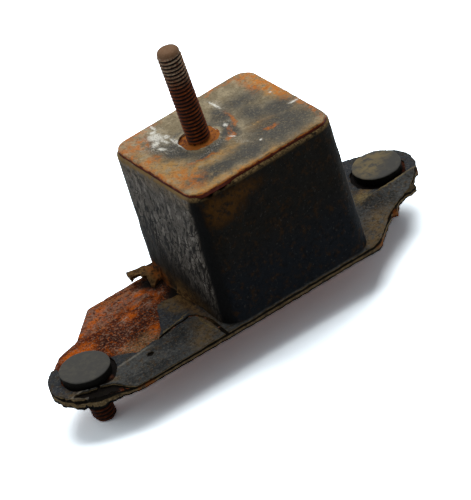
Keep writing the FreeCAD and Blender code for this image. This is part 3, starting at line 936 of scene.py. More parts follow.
@dataclass(frozen=True)
class WornPlate:
    """Top plate: dull scale with blue-grey patches, rusty edges and worn bright metal."""

    scale: str = "7f735a"
    light: str = "a3967a"
    tan: str = "b3894e"
    slate: str = "42423f"
    rust: str = "b8661c"
    red: str = "431203"
    glow: str = "e2902c"
    bare: str = "b3aea0"
    worn: str = "dcdacf"
    smear: str = "5f5238"
    grains: tuple[Grains, ...] = (
        Grains("2a1c10", 0.8, 0.35, 31.0), Grains("c9b48e", 0.7, 0.14, 32.0))
    slate_spots: tuple[Spot, ...] = (
        Spot(-3, -20.5, 16, 4.6, 0, soft=0.6), Spot(10, -20, 13, 6, soft=0.7),
        Spot(28, -16, 16, 11, soft=0.6), Spot(34, -4, 9, 7, soft=0.7),
        Spot(26, 0, 5, 9, soft=0.8), Spot(17, 10, 3.5, 6, soft=0.6),
        Spot(-8, 4, 5, 6, soft=0.7), Spot(3, -7, 11, 2.8, 10, soft=0.6),
        Spot(14, -1, 3.5, 7, -20, soft=0.7), Spot(-12, 11, 4, 8, soft=0.8),
        Spot(27, 12, 9, 5, soft=0.9))
    ring_out: Spot = Spot(2.2, 3.2, 14, 12.5, soft=0.2)
    ring_in: Spot = Spot(2.6, 3.8, 9.2, 9.0, soft=0.15)
    tan_spots: tuple[Spot, ...] = (
        Spot(-17, -8, 6, 22, soft=0.7), Spot(-5, -12, 14, 3.6, soft=0.7),
        Spot(12, -28, 32, 2.8, 2.2, soft=0.7), Spot(-12, -27, 12, 4.5, soft=0.7),
        Spot(24, -8, 5, 3, soft=0.8), Spot(40, 8, 4, 18, soft=0.7))
    rust_spots: tuple[Spot, ...] = (
        Spot(41, 12, 3.2, 14, 0), Spot(39, 25, 6, 5), Spot(42.5, -15, 2, 12),
        Spot(-12, 27, 9, 2.5), Spot(-22, 5, 1.8, 26), Spot(25, 28, 18, 1.4),
        Spot(10, -29.5, 36, 1.7), Spot(25, -13, 2.4, 1.4), Spot(-17, 6, 3, 3),
        Spot(-4, -9.2, 7, 0.9, -8), Spot(-15, -16, 5, 8, soft=0.8), Spot(12, -4, 1.0, 5, -35),
        Spot(18, 4, 1.0, 6, -10), Spot(36, 17, 3, 5, soft=0.8), Spot(-16, 20, 5, 5, soft=0.8))
    bare_spots: tuple[Spot, ...] = (
        Spot(-8.2, 18.5, 4.5, 5.5, 20, soft=0.6), Spot(-12, 13, 4, 5, 40, soft=0.7),
        Spot(-4.5, 10, 3, 6, soft=0.7), Spot(19, 18.5, 1.8, 6, 3, soft=0.7),
        Spot(14.4, 3.2, 2.2, 3.4, soft=0.7), Spot(-5.2, 25, 1.6, 3.6, soft=0.7),
        Spot(13, -11, 1.4, 3.6, 14, soft=0.7), Spot(1, -7, 9, 1.4, 8, soft=0.8),
        Spot(40.5, -5.8, 3.4, 1.2, soft=0.7), Spot(-7, 22, 3.5, 4, soft=0.7),
        Spot(-10.5, 7, 2.5, 5, 20, soft=0.8), Spot(7, -5.5, 5, 1.6, 20, soft=0.8))
    worn_spots: tuple[Spot, ...] = (
        Spot(-8.2, 18.5, 2.4, 3.2, 20, soft=0.5), Spot(-10.5, 14.5, 2.0, 1.4, 40),
        Spot(-7.2, 14.0, 0.8, 2.6, 10), Spot(-10.8, 9.6, 0.8, 1.6, 30), Spot(-7.0, 22.4, 1.2, 1.0),
        Spot(-4.8, 10.8, 0.5, 2.4, -5), Spot(11.8, -6.0, 0.5, 1.4, 30),
        Spot(-5, 15.5, 1.2, 1.2), Spot(-5.2, 25.0, 0.6, 2.2), Spot(19.1, 18.5, 0.5, 3.8, 3),
        Spot(14.4, 3.2, 0.9, 1.2), Spot(38, 7.2, 0.5, 0.6, soft=0.3),
        Spot(40.5, -5.8, 2.2, 0.5), Spot(17.5, -17.4, 0.6, 0.5, soft=0.3),
        Spot(-4.6, 6.5, 0.7, 5.0, -6), Spot(9.6, 4.6, 0.6, 4.0, 5))

    def make(self) -> bpy.types.Material:
        """Build the material.

        Returns:
            The finished material.
        """
        bench = Bench("worn_plate")
        bench.warp(6.0, 4.2)
        fine = bench.noise(0.6, 5, 0.75, seed=2.0)
        cloud = bench.noise(5, 7, 0.68, seed=3.0)
        patch = bench.noise(2.2, 7, 0.7, seed=5.0)
        streak = bench.noise(1.6, 5, 0.7, bench.stretch((3.2, 0.8, 1), (0, 0, -50)), seed=6.0)
        up = bench.axis("Z")
        colour = bench.paint(self.scale, self.light, bench.window(cloud, 0.44, 0.62))
        colour = bench.stain(
            colour, self.tan, self.tan_spots, bench.window(patch, 0.3, 0.6))
        colour = bench.stain(
            colour, self.slate, self.slate_spots, bench.window(cloud, 0.34, 0.44), 0.95)
        ring = bench.both(
            bench.marks([self.ring_out]), bench.window(bench.marks([self.ring_in]), 0.9, 0.1))
        colour = bench.coat(colour, self.slate, ring, bench.window(cloud, 0.4, 0.54), 0.8)
        colour = bench.coat(colour, self.smear, bench.window(streak, 0.52, 0.66), 0.5)
        colour = bench.stain(
            colour, self.rust, self.rust_spots, bench.window(patch, 0.38, 0.6), 0.8)
        colour = bench.stain(
            colour, self.glow, self.rust_spots[:2], bench.window(fine, 0.5, 0.66), 0.8)
        broken = bench.both(bench.window(fine, 0.46, 0.62), bench.window(streak, 0.36, 0.56))
        colour = bench.stain(colour, self.bare, self.bare_spots, broken, 0.85)
        bench.warp(1.5, 0.9)
        colour = bench.stain(
            colour, self.worn, self.worn_spots, bench.window(fine, 0.34, 0.52))
        pits = bench.noise(1.1, 6, 0.72, seed=11.0)
        colour = bench.coat(colour, self.red, bench.window(pits, 0.6, 0.68), 0.6)
        colour = bench.grit(colour, self.grains)
        side = bench.paint(self.rust, self.red, bench.window(patch, 0.46, 0.56))
        colour = bench.paint(colour, side, bench.window(up, 61.5, 61.1))
        middle = bench.window(bench.vector("LENGTH", bench.stretch((1, 1, 400))), 17, 14)
        joint = bench.coat(self.red, self.glow, middle, 0.7)
        colour = bench.paint(colour, joint, bench.window(up, 61.1, 60.8))
        return bench.finish(colour, patch, fine, (0.5, 0.5), (0.5, 0.8), 0.3, 0.1)


@dataclass(frozen=True)
class RustedThread:
    """Threaded steel: dark red grooves, brown crests, and bright crests near the top that are
    partly bare metal and partly painted highlight.
    """

    name: str
    groove: str = "0c0402"
    crest: str = "562814"
    bloom: str = "80401a"
    bright: str = "c4b497"
    tip: str = "6f533c"
    seep: str = "9a5a22"
    bright_above: float = 1000.0
    bloom_below: float = -1000.0
    dark: float = 0.0

    def make(self) -> bpy.types.Material:
        """Build the material.

        Returns:
            The finished material.
        """
        bench = Bench(self.name)
        bench.warp(3.0, 1.2)
        up = bench.axis("Z")
        patch = bench.noise(2.0, 6, 0.68, seed=5.0)
        fine = bench.noise(0.5, 5, 0.7, seed=2.0)
        crest = bench.window(bench.attribute("crest"), 0.3, 0.85)
        colour = bench.paint(self.crest, self.bloom, bench.window(patch, 0.46, 0.6))
        # Bright crests below the top: partly bare worn metal, partly painted highlight.
        colour = bench.coat(
            colour, self.bright, bench.window(up, self.bright_above - 15, self.bright_above - 5),
            bench.window(fine, 0.4, 0.6), 0.8)
        colour = bench.coat(
            colour, self.tip, bench.window(up, self.bright_above, self.bright_above + 1), 0.9)
        colour = bench.paint(self.groove, colour, crest)
        colour = bench.coat(
            colour, self.seep, bench.window(up, self.bloom_below + 0.4, self.bloom_below),
            bench.window(patch, 0.36, 0.5))
        colour = bench.paint(colour, self.groove, self.dark)
        return bench.finish(colour, patch, fine, (0.5, 0.5), (0.5, 0.8), 0.2, 0.08)


@dataclass(frozen=True)
class DuskyHead:
    """Bolt head under a thin matt grey rubber coat, its side painted nearly black as painted
    shade.
    """

    top: str = "4a4946"
    light: str = "5f5c52"
    # Painted shade on the head's side.
    side: str = "0d0c0a"
    mud: str = "7d6f50"
    mud_spots: tuple[Spot, ...] = (
        Spot(71.5, 10, 6, 5, 30, 6, 4, 0.8), Spot(78, 14, 6, 4, 0, 6, 4, 0.8),
        Spot(74, 17, 8, 3, 0, 6, 4, 0.8))

    def make(self) -> bpy.types.Material:
        """Build the material.

        Returns:
            The finished material.
        """
        bench = Bench("dusky_head")
        bench.warp(3.0, 1.5)
        up = bench.axis("Z")
        patch = bench.noise(2.6, 5, 0.6, seed=5.0)
        fine = bench.noise(0.5, 4, 0.7, seed=2.0)
        colour = bench.coat(self.top, self.light, bench.window(patch, 0.45, 0.7), 0.4)
        colour = bench.stain(
            colour, self.mud, self.mud_spots, bench.window(patch, 0.35, 0.6), 0.8)
        # Painted shade: the head's side near-black below its top.
        colour = bench.paint(self.side, colour, bench.window(up, 5.3, 6.0))
        return bench.finish(colour, patch, fine, (0.4, 0.5), (0.6, 0.85), 0.15, 0.04)


# ---- sub-assemblies


@dataclass
class BasePlan:
    """Plan of the base, the same from either end, and the fall of its flanges."""

    bolt_reach: float = 74.8
    bolt_side: float = 9.4
    half_width: float = 30.0
    shoulder: Corner = Corner(-64.0, -30.0, 8.0)
    waist: Corner = Corner(47.0, -30.0, 9.0)
    notch: Corner = Corner(65.5, -14.3, 8.0)
    ear: Corner = Corner(76.5, -9.8, 5.0)
    lobe_radius: float = 14.8
    fold_middle: float = 9.0
    fold_swing: float = 7.6
    fold_back: float = 17.0
    drop_left: float = 1.6
    drop_right: float = 0.2
    drop_back: float = 0.5
    gauge: float = 1.8
    reach: float = 92.6
    side_reach: float = 33.0

    def hub(self, side: int) -> Vector:
        """Return the middle of the right bolt (1) or of the left one (-1)."""
        return Vector((side * self.bolt_reach, side * self.bolt_side, 0))

    def corners(self, margin: float) -> list[Corner]:
        """Lay out the outline of the base.

        Args:
            margin: How far it is grown all round.

        Returns:
            Its corners, anticlockwise seen from above.
        """
        near = [
            Corner(corner.x + margin * wider, corner.y - margin, corner.bend)
            for corner, wider in (
                (self.shoulder, -0.3), (self.waist, 0.4), (self.notch, 0.5), (self.ear, 0.6))]
        hub = self.hub(1)
        radius = self.lobe_radius + margin
        ends = []
        for outer, side in ((near[3].place, 1), (-near[0].place, -1)):
            offset = outer - hub
            ends.append(math.atan2(offset.y, offset.x) + side * math.acos(radius / offset.length))
        span = (ends[1] - ends[0]) / 2
        for index in range(2):
            angle = ends[0] + span * (index + 0.5)
            out = radius / math.cos(span / 2)
            near.append(Corner(
                hub.x + out * math.cos(angle), hub.y + out * math.sin(angle), radius * 0.97))
        return near + [corner.across() for corner in near]

    def steel_corners(self) -> list[Corner]:
        """Lay out the steel's own outline, crisper where it is bare.

        Returns:
            Its corners, anticlockwise seen from above.
        """
        corners = self.corners(0.0)
        corners[7:9] = [Corner(-52.2, 28.6, 2.5), Corner(-66.4, 13.0, 4.0)]
        return corners

    def fall(self, x: float, y: float) -> float:
        """Work out how far the pressed sheet lies below its web.

        Args:
            x: Place along the sheet.
            y: Place across it.

        Returns:
            The drop there.
        """
        front = -self.fold_middle + self.fold_swing * x / self.bolt_reach
        share = (x + self.reach) / (2 * self.reach)
        drop = self.drop_left + (self.drop_right - self.drop_left) * share
        edge = self.half_width + 3.0
        ahead = max(0.0, (front - y) / (front + edge))
        behind = max(0.0, (y - self.fold_back) / (edge - self.fold_back))
        return drop * ahead + self.drop_back * behind


@dataclass
class BaseSteel:
    """Pressed base plate, bare and rusted at its back left."""

    plan: BasePlan
    hole: float = 5.1
    bare_right: float = -18.0
    fine_step: float = 0.9
    plain_step: float = 2.4

    def build(self) -> bmesh.types.BMesh:
        """Model the plate.

        Returns:
            The plate in millimetres.
        """
        mesh = plan_prism(self.plan.steel_corners(), 0.0, self.plan.gauge)
        for side in (1, -1):
            mesh = carve(mesh, round_tool(self.plan.hub(side), self.hole, -3, 5))
        reach, side_reach = self.plan.reach, self.plan.side_reach
        cut_rows(mesh, ALONG, rows(-reach, self.bare_right, self.fine_step))
        cut_rows(mesh, ALONG, rows(self.bare_right, reach, self.plain_step))
        cut_rows(mesh, ASIDE, rows(-side_reach, side_reach, self.fine_step))
        reshape(mesh, self.weather)
        return mesh

    def weather(self, place: Vector, normal: Vector) -> Vector:
        """Fold the sheet, pit its surface and fray its edge.

        Args:
            place: Where a vertex is.
            normal: Its normal.

        Returns:
            Where it goes.
        """
        x, y, z = place
        bare = ease(-x, 18, 24) * ease(y, -16, -12)
        rough = 0.10 + 0.22 * bare
        moved = place - UP * self.plan.fall(x, y)
        lump = grain(place, 3.0, 4) * 0.5 + grain(place, 11.0, 3, 5.0) * 0.5
        pit = max(0.0, grain(place, 2.2, 3, 9.0) - 0.25)
        if z > self.plan.gauge / 2:
            moved.z += rough * lump * 0.8 - pit * 0.35 * bare - 0.05 * rough
        else:
            moved.z += abs(rough * lump) * 0.5
        if abs(normal.z) < 0.9:
            moved += level_part(normal) * (grain(place, 3.0, 3, 2.0) * 0.16 - 0.12)
        return moved

    def dress(self) -> bpy.types.Object:
        """Build the plate and give it its finish."""
        return hand_over(
            self.build(), "base_steel_sheet", RustedSheet().make(),
            ["base_plate"])


@dataclass
class RubberMoulding:
    """Rubber block and the torn skin over the base, moulded in one."""

    plan: BasePlan
    skin: float = 0.8
    hollow: float = 1.5
    rim_rows: tuple[float, ...] = (0.25, 0.5, 0.8, 1.15, 1.4, 1.6, 1.8, 2.0, 2.2, 2.4)
    opening_radius: float = 10.9
    opening_shift: float = 0.6
    foot_length: float = 68.4
    foot_width: float = 61.2
    foot_x: float = 11.5
    foot_bend: float = 8.5
    top_length: float = 67.1
    top_width: float = 59.5
    top_x: float = 10.6
    top_y: float = 0.55
    yaw: float = 2.2
    height: float = 59.5
    rim: tuple[tuple[float, float], ...] = ((0.3, 0.3), (0.3, 0.25), (0.4, 0.05), (0.12, -1.2))
    step: float = 1.05
    tear: tuple[tuple[float, float], ...] = (
        (-19.0, 9.0), (-22.9, 5.2), (-25.6, 5.4), (-28.2, 6.3), (-30.6, 6.9), (-33.2, 6.2),
        (-34.6, 3.6), (-36.0, 0.6), (-37.3, -2.4), (-39.2, -5.3), (-40.3, -8.3),
        (-42.2, -10.6), (-44.0, -12.8), (-47.1, -12.4), (-50.6, -13.4), (-54.4, -13.7),
        (-55.8, -12.2), (-58.1, -10.6), (-60.4, -8.7), (-63.1, -7.5), (-70.0, -6.0),
        (-79.0, -3.6), (-81.4, 0.6), (-81.2, 2.6), (-83.4, 3.6), (-95.0, 9.0), (-95.0, 36.0),
        (-20.0, 36.0), (-19.0, 20.0))
    tab: tuple[tuple[float, float], ...] = (
        (-32.5, 25.3), (-30.0, 25.5), (-28.4, 24.9), (-28.6, 23.2), (-27.2, 22.0),
        (-28.1, 18.0), (-27.3, 16.6), (-26.0, 18.0), (-24.4, 18.8), (-22.6, 17.4),
        (-21.4, 13.4), (-16.0, 13.4), (-16.0, 29.2), (-21.3, 29.2), (-25.0, 29.7),
        (-28.0, 29.3), (-31.8, 30.1))
    tab_low: float = 4.2
    tab_high: float = 5.5
    end: float = 90.3
    crack: tuple[tuple[float, float, float], ...] = (
        (-44.4, -13.2, 0.55), (-41.5, -12.4, 0.5), (-38.0, -11.7, 0.4), (-35.4, -11.0, 0.5),
        (-31.6, -11.1, 0.35), (-28.3, -10.2, 0.5), (-26.4, -11.9, 0.4), (-25.0, -15.0, 0.45),
        (-24.1, -18.5, 0.65), (-23.9, -23.0, 0.6), (-24.2, -27.5, 0.6), (-23.9, -34.0, 0.6))
    lip: tuple[tuple[float, float], ...] = (
        (-64.6, -33.5), (-65.8, -30.2), (-67.8, -28.4), (-69.2, -25.8), (-70.9, -23.7),
        (-73.2, -21.9), (-75.6, -20.8), (-78.8, -20.2), (-81.4, -19.0), (-84.8, -17.6),
        (-86.2, -18.2), (-84.6, -19.6), (-82.4, -21.6), (-81.6, -23.6), (-82.5, -27.0),
        (-72.0, -34.0))
    hanging: tuple[tuple[float, float, float, float, float], ...] = (
        (-83.0, -22.0, 9.0, 2.3, 0.3), (-90.0, -12.0, 7.0, 1.6, 0.0),
        (-75.0, -26.0, 6.0, 1.3, 0.2), (65.3, -16.4, 2.4, 2.2, 1.3),
        (78.4, -8.6, 1.6, 0.8, 1.0), (87.0, -0.6, 3.2, 1.2, 0.6),
        (89.6, 9.0, 1.2, -0.6, 0.5), (50.0, -30.0, 9.0, 1.1, 0.0), (5.0, -31.0, 40.0, 0.6, 0.0))
    pit: tuple[tuple[float, float, float], ...] = (
        (-52.6, -18.8, 0.5), (-51.6, -18.4, 1.1), (-50.6, -18.5, 0.9), (-50.0, -18.8, 0.4))
    lump: tuple[tuple[float, float], ...] = (
        (71.0, -10.0), (72.6, -12.0), (74.2, -12.4), (75.4, -13.0), (77.0, -12.2),
        (78.8, -12.0), (78.4, -10.6), (80.0, -9.0), (76.0, -7.0))
    cut_floor: float = 1.88
    cut_low: float = -4.0
    cut_high: float = 8.0

    @property
    def skin_top(self) -> float:
        """Height of the skin's upper face before it is folded."""
        return self.plan.gauge + self.skin

    def tray(self) -> bmesh.types.BMesh:
        """Model the whole skin as a tray whose rim covers the edge of the steel.

        Returns:
            The skin before it is torn.
        """
        mesh = plan_prism(self.plan.corners(self.skin), 0.0, self.skin_top)
        cut_rows(mesh, UP, self.rim_rows)
        reshape(mesh, self.groove)
        return carve(mesh, plan_prism(self.plan.corners(0.0), -2.0, self.hollow))

    def groove(self, place: Vector, normal: Vector) -> Vector:
        """Cut a groove between the skin's edge and the strip that covers the steel.

        Args:
            place: Where a vertex is.
            normal: Its normal.

        Returns:
            Where it goes.
        """
        flat = level_part(normal)
        if flat.length < 0.5:
            return place
        slit = math.exp(-((place.z - self.plan.gauge) / 0.2) ** 2)
        low = math.exp(-((place.z - 0.3) / 0.16) ** 2)
        return place - flat.normalized() * (0.6 * slit + 0.3 * low + 0.2 * ease(place.z, 2.2, 2.6))

    def skin_sheet(self) -> bmesh.types.BMesh:
        """Tear the skin open, cut its crack and leave room for the bolt heads.

        Returns:
            The torn skin with its loose strip.
        """
        mesh = carve(self.tray(), plan_prism(sharp(self.lump), 0.4, 2.2), "UNION")
        mesh = carve(mesh, plan_prism(sharp(self.tear), self.cut_low, self.cut_high))
        for outline in (sharp(self.lip), ribbon(self.crack), ribbon(self.pit)):
            mesh = carve(mesh, plan_prism(outline, self.cut_floor, self.cut_high))
        for side in (1, -1):
            shift = Vector((side * self.opening_shift, self.opening_shift, 0))
            mesh = carve(mesh, round_tool(
                self.plan.hub(side) - shift, self.opening_radius, self.cut_low, self.cut_high))
        return carve(mesh, plan_prism(sharp(self.tab), self.tab_low, self.tab_high), "UNION")

    def block(self) -> bmesh.types.BMesh:
        """Model the block with its raised rim round the plate.

        Returns:
            The block in millimetres.
        """
        low = self.cut_floor
        mesh = plan_prism(
            rectangle(self.foot_length, self.foot_width, self.foot_bend), low, self.height)
        crown = [vert for vert in mesh.verts if vert.co.z > low + 1]
        bmesh.ops.scale(mesh, verts=crown, vec=(
            self.top_length / self.foot_length, self.top_width / self.foot_width, 1))
        bmesh.ops.rotate(mesh, verts=crown, cent=(0, 0, 0),
                         matrix=Matrix.Rotation(math.radians(self.yaw), 3, "Z"))
        bmesh.ops.translate(mesh, verts=crown, vec=(self.top_x - self.foot_x, self.top_y, 0))
        bmesh.ops.translate(mesh, verts=mesh.verts[:], vec=(self.foot_x, 0, 0))
        top = max(mesh.faces, key=lambda face: face.calc_center_median().z)
        for inward, rise in self.rim:
            bmesh.ops.inset_region(mesh, faces=[top], thickness=inward, use_even_offset=True)
            bmesh.ops.translate(mesh, verts=top.verts[:], vec=UP * rise)
        return mesh

    def build(self) -> bmesh.types.BMesh:
        """Join block and skin, and wear them down together.

        Returns:
            The moulding, with its unworn heights as the attribute "level".
        """
        mesh = carve(self.skin_sheet(), self.block(), "UNION")
        reach, side_reach = self.plan.reach, self.plan.side_reach
        cut_rows(mesh, ALONG, rows(-reach, reach, self.step))
        cut_rows(mesh, ASIDE, rows(-side_reach, side_reach, self.step))
        cut_rows(mesh, UP, rows(self.skin_top + 0.5, self.height, self.step),
                 above=self.skin_top - 0.1)
        bmesh.ops.remove_doubles(mesh, verts=mesh.verts[:], dist=10 * MERGE)
        bmesh.ops.holes_fill(mesh, edges=[edge for edge in mesh.edges if edge.is_boundary])
        level = mesh.verts.layers.float.new("level")
        for vert in mesh.verts:
            vert[level] = vert.co.z
        reshape(mesh, self.weather)
        return mesh

    def weather(self, place: Vector, normal: Vector) -> Vector:
        """Lay the skin on the folded steel and wear each part in its own way.

        Args:
            place: Where a vertex is.
            normal: Its normal.

        Returns:
            Where it goes.
        """
        x, y, level = place
        moved = place - UP * (self.plan.fall(x, y) * (1 - ease(level, self.skin_top, 16)))
        if x < -23.0 and y > 14.0 and level > self.skin_top + 0.6:
            return self.wear_tab(place)
        if level > self.skin_top + 0.02:
            return self.wear_block(place, normal, moved)
        tattered = ease(-x, 64, 70) * ease(-y, 6, 14)
        self.lift_skin(place, moved, tattered)
        outward = level_part(normal)
        if outward.length > 0.5:
            self.fray_rim(place, moved, outward.normalized(), tattered)
        edge = self.plan.half_width + self.skin - 0.02
        moved.y = max(-edge, min(edge, moved.y))
        moved.x = max(-self.end, min(self.end, moved.x))
        return moved

    def lift_skin(self, place: Vector, moved: Vector, tattered: float) -> None:
        """Peel the skin's torn edge, raise the right ridge and roughen the skin.

        Args:
            place: Where the vertex was.
            moved: Where it goes, changed here.
            tattered: How much the rim hangs in tatters there, 0 to 1.
        """
        x, y, level = place
        upper = ease(level, 1.3, 1.9)
        torn = y + 20.6 + (x + 78.8) * 0.36 + 0.045 * max(0.0, x + 78.8) ** 2
        peel = math.exp(-(max(0.0, torn) / 4.0) ** 2) * ease(-x, 63, 68) * ease(x, -86, -81)
        moved.z += peel * ease(level, 2.2, 2.5) * ease(torn, -1.6, -0.6)
        moved.z += upper * (grain(place, 9.0, 3) * 0.22 + grain(place, 2.2, 4, 4.0) * 0.12)
        ridge = ease(x, 54, 61) * ease(-x, -90, -83) * upper
        moved.z += 1.5 * ridge * math.exp(-((y + 2.7 - (x - 75) * 0.08) / 1.7) ** 2)
        muddy = ease(x, 45, 49) * ease(-x, -66, -61) * ease(-y, 7, 13)
        moved.z += upper * 0.5 * muddy * (grain(place, 1.5, 3, 41.0) + 0.2)
        moved.z += tattered * upper * (1 - ease(level, 2.2, 2.5)) * (
            grain(place, 1.9, 3, 13.0) * 0.8 - 0.1)

    def fray_rim(
        self, place: Vector, moved: Vector, outward: Vector, tattered: float
    ) -> None:
        """Make the skin's rim ragged and let its scraps hang and bulge.

        Args:
            place: Where the vertex was.
            moved: Where it goes, changed here.
            outward: Level direction away from the rim.
            tattered: How much the rim hangs in tatters there, 0 to 1.
        """
        x, y, level = place
        ragged = 0.22 + 0.4 * ease(x, 48, 60) + 0.35 * tattered
        out = grain(place, 3.6, 3, 7.0) * ragged - ragged * 0.7
        out += grain(Vector((x, y, level * 2.5)), 1.6, 3, 3.0) * (0.12 + 0.25 * tattered)
        for at_x, at_y, reach, down, swell in self.hanging:
            share = math.exp(-((x - at_x) ** 2 + (y - at_y) ** 2) / reach ** 2)
            out += swell * share * ease(2.5 - level, 0.0, 1.2)
            moved.z -= down * share * (1 - ease(level, -0.4, 2.3)) * (
                1.0 + 0.5 * grain(place, 2.4, 3, 17.0))
        moved += outward * out

    def wear_tab(self, place: Vector) -> Vector:
        """Bend the loose strip at the back left: its tip rises, its torn tooth hangs.

        Args:
            place: Where a vertex is.

        Returns:
            Where it goes.
        """
        x, y, level = place
        moved = place.copy()
        out = ease(-x, 23.0, 32.0)
        moved.z += 0.9 * out - 1.0 * ease(-x, 31.0, 32.6) * ease(self.tab_high - level, 0.0, 1.0)
        moved.z -= 2.2 * ease(22.5 - y, 0.0, 6.0) * ease(-x, 22.6, 25.0)
        moved.z += grain(place, 3.0, 3, 21.0) * 0.3
        moved.y += grain(place, 2.0, 3, 23.0) * 0.3 * ease(-x, 23.0, 24.5)
        return moved

    def wear_block(self, place: Vector, normal: Vector, moved: Vector) -> Vector:
        """Make the block's walls uneven and break its rim at the front left.

        Args:
            place: Where a vertex was.
            normal: Its normal.
            moved: Where the fold of the steel has put it.

        Returns:
            Where it goes.
        """
        x, y, level = place
        moved += normal * (grain(place, 14.0, 3) * 0.2 + grain(place, 2.4, 3, 6.0) * 0.09 - 0.1)
        foot = ease(9.0 - level, 0.0, 6.4)
        moved.x -= 1.5 * foot ** 2 * ease(-x, 18.0, 21.0) * ease(y, -12.0, 2.0) * (
            1.0 + 0.5 * grain(place, 4.0, 3, 31.0))
        gone = ease(x, -18.5, -16.5) * ease(-x, 3, 5.5) * ease(-y, 25, 27)
        chip_and_glint = gone * ease(level, self.height - 2.4, self.height - 0.4)
        moved.z -= 1.7 * chip_and_glint * (0.7 + 0.6 * grain(place, 2.5, 2, 11.0))
        moved.y += 0.5 * chip_and_glint
        if level > self.height:
            moved.z += grain(place, 3.0, 3, 8.0) * 0.2
        return moved

    def dress(self) -> bpy.types.Object:
        """Build the moulding and give it its finish."""
        return hand_over(
            self.build(), "rubber_moulding", OldRubber().make(), ["rubber_body"])


@dataclass
class TopSteel:
    """Steel plate bonded to the block, with a ragged crater round the stud."""

    length: float = 65.1
    width: float = 57.5
    bend: float = 6.5
    low: float = 59.5
    gauge: float = 2.3
    edge: float = 0.9
    x: float = 10.6
    y: float = 0.55
    yaw: float = 2.2
    step: float = 0.8
    crater: tuple[Corner, ...] = (
        Corner(-4.9, 0.6, 1.6), Corner(-2.6, -2.6, 2.0), Corner(2.4, -3.5, 2.0),
        Corner(7.4, -2.4, 2.5), Corner(9.9, 0.9, 2.5), Corner(9.8, 7.8, 2.5),
        Corner(6.5, 10.8, 2.5), Corner(-1.2, 10.6, 2.5), Corner(-4.6, 7.4, 2.5))
    crater_reach: float = 12.0
    crater_x: float = 2.6
    crater_y: float = 3.8
    lip_height: float = 0.39

    def build(self) -> bmesh.types.BMesh:
        """Model the plate.

        Returns:
            The plate in millimetres.
        """
        top = self.low + self.gauge
        mesh = plan_prism(rectangle(self.length, self.width, self.bend), self.low, top)
        rolled = [edge for edge in mesh.edges
                  if all(vert.co.z > top - 0.01 for vert in edge.verts)]
        bmesh.ops.bevel(
            mesh, geom=rolled, offset=self.edge, offset_type="OFFSET", segments=3,
            profile=0.5, affect="EDGES", material=-1)
        bmesh.ops.rotate(mesh, verts=mesh.verts[:], cent=(0, 0, 0),
                         matrix=Matrix.Rotation(math.radians(self.yaw), 3, "Z"))
        bmesh.ops.translate(mesh, verts=mesh.verts[:], vec=(self.x, self.y, 0))
        mesh = carve(mesh, plan_prism(self.crater, self.low - 2, top + 2))
        cut_rows(mesh, ALONG, rows(-24, 45, self.step))
        cut_rows(mesh, ASIDE, rows(-30.5, 31.5, self.step))
        cut_rows(mesh, UP, [self.low + rise for rise in (0.6, 1.2, 1.7)])
        reshape(mesh, self.wear)
        return mesh

    def wear(self, place: Vector, normal: Vector) -> Vector:
        """Raise the crater's lip, dent the plate and scale its edges.

        Args:
            place: Where a vertex is.
            normal: Its normal.

        Returns:
            Where it goes.
        """
        top = ease(place.z, self.low + 0.3, self.low + self.gauge)
        offset = Vector((place.x - self.crater_x, place.y - self.crater_y, 0))
        out = offset.length
        bearing = math.atan2(offset.y, offset.x)
        lip = math.exp(-((out - 7.6) / 1.5) ** 2)
        taller = 0.55 + 0.45 * math.cos(bearing - math.radians(150))
        moved = place.copy()
        moved.z += top * lip * self.lip_height * taller
        moved.z += top * (grain(place, 12.0, 3) * 0.14 + grain(place, 2.4, 4, 3.0) * 0.06)
        moved.z -= top * 0.25 * math.exp(-((out - 11.5) / 2.0) ** 2)
        if abs(normal.z) < 0.8 and out > self.crater_reach:
            moved += level_part(normal) * (grain(place, 3.0, 3, 5.0) * 0.3 - 0.12)
            moved.z += grain(place, 2.5, 2, 7.0) * 0.12
        elif abs(normal.z) < 0.8:
            moved += level_part(normal) * (grain(place, 2.0, 3, 5.0) * 0.35 - 0.5 * top)
        return moved

    def dress(self) -> bpy.types.Object:
        """Build the plate and give it its finish."""
        return hand_over(
            self.build(), "top_steel_plate", WornPlate().make(),
            ["top_plate"])


